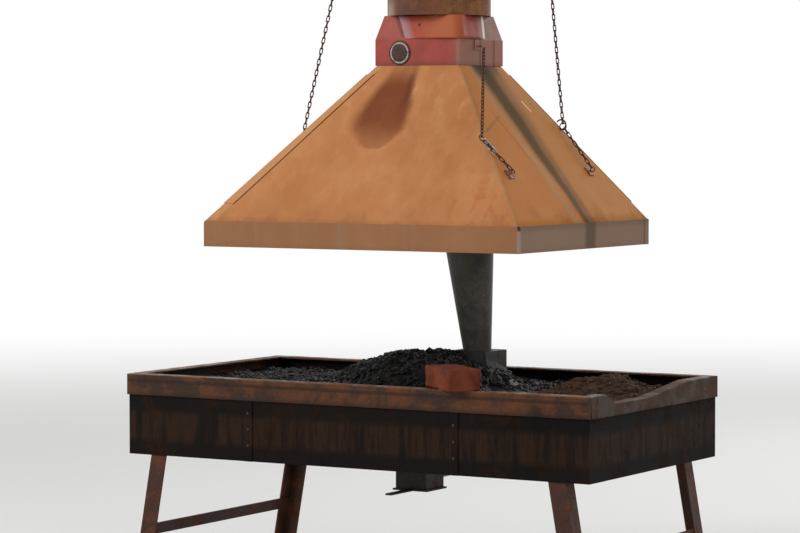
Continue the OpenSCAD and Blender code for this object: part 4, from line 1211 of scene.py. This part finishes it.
class FORGE_OT_air(bpy.types.Operator):
    """Finishes the fire pot, the air box and the pipes"""
    bl_idname = "forge.air"
    bl_label = "Air and draught"

    def execute(self, context):
        colours = context.scene.forge_colours
        cast = iron_material("cast_soot", srgb(46, 42, 40), srgb(82, 60, 48), srgb(24, 22, 21),
                             0.35, 0.5, 0.002)
        paint(cast, "fire_pot", "tuyere_box", "draught_shoe", "ash_gate", "draught_hanger")
        paint(zinc_material(colours), "draught_pipe", "air_pipe")
        return {"FINISHED"}


class FORGE_OT_fixings(bpy.types.Operator):
    """Adds the bolts of the plates and the rivets of the straps and the flue's joint"""
    bl_idname = "forge.fixings"
    bl_label = "Bolts and rivets"

    def execute(self, context):
        sizes = context.scene.forge_sizes
        bolt, rivet = self.bolt(sizes.bolt), self.rivet(sizes.rivet)
        heads = bmesh.new()
        self.plate_bolts(heads, bolt, sizes.bolt * BOLT_INSET)
        self.strap_rivets(heads, rivet)
        self.joint_rivets(heads, rivet)
        bpy.data.meshes.remove(bolt)
        bpy.data.meshes.remove(rivet)
        iron = iron_material("bolt_rust", srgb(62, 44, 35), srgb(96, 60, 42), srgb(34, 27, 24),
                             0.5, 0.4, 0.0004)
        piece_from(heads, "bolt_heads", iron)
        return {"FINISHED"}

    def plate_bolts(self, heads, bolt, inset):
        """Four bolts on each foot plate and each ceiling plate."""
        lows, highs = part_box("foot_plates")
        half = FOOT_PLATE / 2
        for x in (lows.x + half, highs.x - half):
            for y in (lows.y + half, highs.y - half):
                self.corners(heads, bolt, Vector((x, y, highs.z)), half - inset, (0, 0, 1))
        for x, y in CEILING_PLATES:
            place = Vector((x, y, CEILING_Z - CEILING_THICK))
            self.corners(heads, bolt, place, CEILING_PLATE / 2 - inset, (0, 0, -1))

    def strap_rivets(self, heads, rivet):
        """A row down each cover strap of the body's front and back plates."""
        for node, face in (("body_front", -1), ("body_back", 1)):
            low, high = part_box(node)
            y = low.y if face < 0 else high.y
            for x in STRAP_X:
                for share in STRAP_SHARES:
                    place = Vector((x, y, low.z + (high.z - low.z) * share))
                    self.head(heads, rivet, place, (0, face, 0))

    def joint_rivets(self, heads, rivet):
        """A ring of rivets round the flue's joint band."""
        low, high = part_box("flue_joint_band")
        middle, radius = (low + high) / 2, (high.x - low.x) / 2
        for i in range(JOINT_RIVETS):
            angle = math.tau * i / JOINT_RIVETS
            out = Vector((math.cos(angle), math.sin(angle), 0))
            self.head(heads, rivet, middle + out * radius, out)

    def bolt(self, width):
        """A hexagon head with its corners taken off, standing on Z = 0."""
        builder = bmesh.new()
        bmesh.ops.create_cone(builder, cap_ends=True, segments=6, radius1=width * 0.55,
                              radius2=width * 0.55, depth=width * 0.45)
        rims = [e for e in builder.edges if all(v.co.z > 0 for v in e.verts)]
        bmesh.ops.bevel(builder, geom=rims, offset=width * 0.07, offset_type="OFFSET", segments=1,
                        profile=0.5, affect="EDGES", material=-1)
        bmesh.ops.translate(builder, verts=builder.verts, vec=(0, 0, width * 0.2))
        out_of(builder)
        return mesh_from(builder, "bolt")

    def rivet(self, width):
        """A round head, its foot just under Z = 0."""
        builder = bmesh.new()
        bmesh.ops.create_uvsphere(builder, u_segments=12, v_segments=6, radius=width / 2)
        bmesh.ops.scale(builder, verts=builder.verts, vec=(1, 1, 0.6))
        out_of(builder)
        return mesh_from(builder, "rivet")

    def head(self, heads, template, place, out):
        """One head at a place, standing out along a direction."""
        turn = Vector(out).to_track_quat("Z", "Y").to_matrix()
        place_copy(heads, template, Matrix.Translation(place) @ turn.to_4x4())

    def corners(self, heads, template, middle, reach, out):
        """Four heads round a plate's middle."""
        for x in (-reach, reach):
            for y in (-reach, reach):
                self.head(heads, template, middle + Vector((x, y, 0)), out)


class FORGE_OT_stage(bpy.types.Operator):
    """Adds the pale floor, the soft lights and the camera"""
    bl_idname = "forge.stage"
    bl_label = "Stage"

    def execute(self, context):
        self.floor(context)
        self.world(context)
        for name, place, power in LIGHTS:
            self.light(context, name, place, power)
        self.camera(context)
        return {"FINISHED"}

    def floor(self, context):
        """A pale disc that turns as bright as the world far away, so no horizon shows."""
        finish = Finish("floor_pale")
        away = finish.node("ShaderNodeVectorMath", {"operation": "LENGTH"}, {0: finish.place}, out="Value")
        pale = {"Base Color": (*context.scene.forge_colours.floor, 1.0), "Roughness": 0.9}
        ground = finish.node("ShaderNodeBsdfPrincipled", None, pale)
        beyond = finish.node("ShaderNodeEmission", None, {"Color": WHITE, "Strength": 1.0})
        blend = {0: away.between(4.0, 14.0), 1: ground, 2: beyond}
        builder = bmesh.new()
        bmesh.ops.create_circle(builder, cap_ends=True, radius=FLOOR_RADIUS, segments=64)
        mesh = mesh_from(builder, "floor")
        mesh.materials.append(finish.closed(finish.node("ShaderNodeMixShader", None, blend)))
        floor = bpy.data.objects.new("floor", mesh)
        context.scene.collection.objects.link(floor)

    def world(self, context):
        """White to the camera and in what shines, half as bright as a light."""
        world = bpy.data.worlds.new("studio")
        context.scene.world = world
        nodes = Nodes(world)
        seen = nodes.node("ShaderNodeLightPath", out="Is Camera Ray")
        glossy, through = nodes.beside(seen, "Is Glossy Ray", "Is Transmission Ray")
        soft = nodes.node("ShaderNodeBackground", None, {"Color": WHITE, "Strength": 0.5})
        white = nodes.node("ShaderNodeBackground", None, {"Color": WHITE, "Strength": 1.0})
        mixed = {0: seen.larger(glossy).larger(through), 1: soft, 2: white}
        shown = nodes.node("ShaderNodeMixShader", None, mixed)
        nodes.node("ShaderNodeOutputWorld", None, {"Surface": shown})

    def light(self, context, name, place, power):
        """A soft round light that faces the forge."""
        data = bpy.data.lights.new(name, "AREA")
        data.shape = "DISK"
        data.size = LIGHT_SIZE
        data.energy = power
        light = bpy.data.objects.new(name, data)
        light.location = place
        light.rotation_euler = (LIGHT_AIM - Vector(place)).to_track_quat("-Z", "Y").to_euler()
        context.scene.collection.objects.link(light)

    def camera(self, context):
        """The photograph's camera."""
        data = bpy.data.cameras.new("camera")
        data.sensor_width = CAMERA_SENSOR
        data.lens = CAMERA_LENS
        data.clip_end = 200.0
        camera = bpy.data.objects.new("camera", data)
        camera.location = CAMERA_PLACE
        camera.rotation_euler = (math.radians(90 - CAMERA_DIP), 0.0, math.radians(CAMERA_TURN))
        context.scene.collection.objects.link(camera)
        context.scene.camera = camera
        context.scene.view_settings.view_transform = "Standard"


class FORGE_PT_pieces(bpy.types.Panel):
    """Lists the forge's pieces, sizes and colours"""
    bl_idname = "FORGE_PT_pieces"
    bl_label = "Forge"
    bl_space_type = "VIEW_3D"
    bl_region_type = "UI"
    bl_category = "Forge"

    def draw(self, context):
        for operator in OPERATORS:
            self.layout.operator(operator.bl_idname)
        for group in (context.scene.forge_sizes, context.scene.forge_colours):
            for name in group.__annotations__:
                self.layout.prop(group, name)


OPERATORS = (
    FORGE_OT_stage, FORGE_OT_hood, FORGE_OT_skirt, FORGE_OT_collar, FORGE_OT_flue,
    FORGE_OT_chains, FORGE_OT_hearth, FORGE_OT_fire, FORGE_OT_air, FORGE_OT_fixings,
)
CLASSES = (ForgeSizes, ForgeColours) + OPERATORS + (FORGE_PT_pieces,)


def register():
    for cls in CLASSES:
        bpy.utils.register_class(cls)
    bpy.types.Scene.forge_sizes = PointerProperty(type=ForgeSizes)
    bpy.types.Scene.forge_colours = PointerProperty(type=ForgeColours)


def unregister():
    del bpy.types.Scene.forge_colours
    del bpy.types.Scene.forge_sizes
    for cls in reversed(CLASSES):
        bpy.utils.unregister_class(cls)


def main():
    register()
    for operator in OPERATORS:
        group, name = operator.bl_idname.split(".")
        getattr(getattr(bpy.ops, group), name)()


if __name__ == "__main__":
    main()
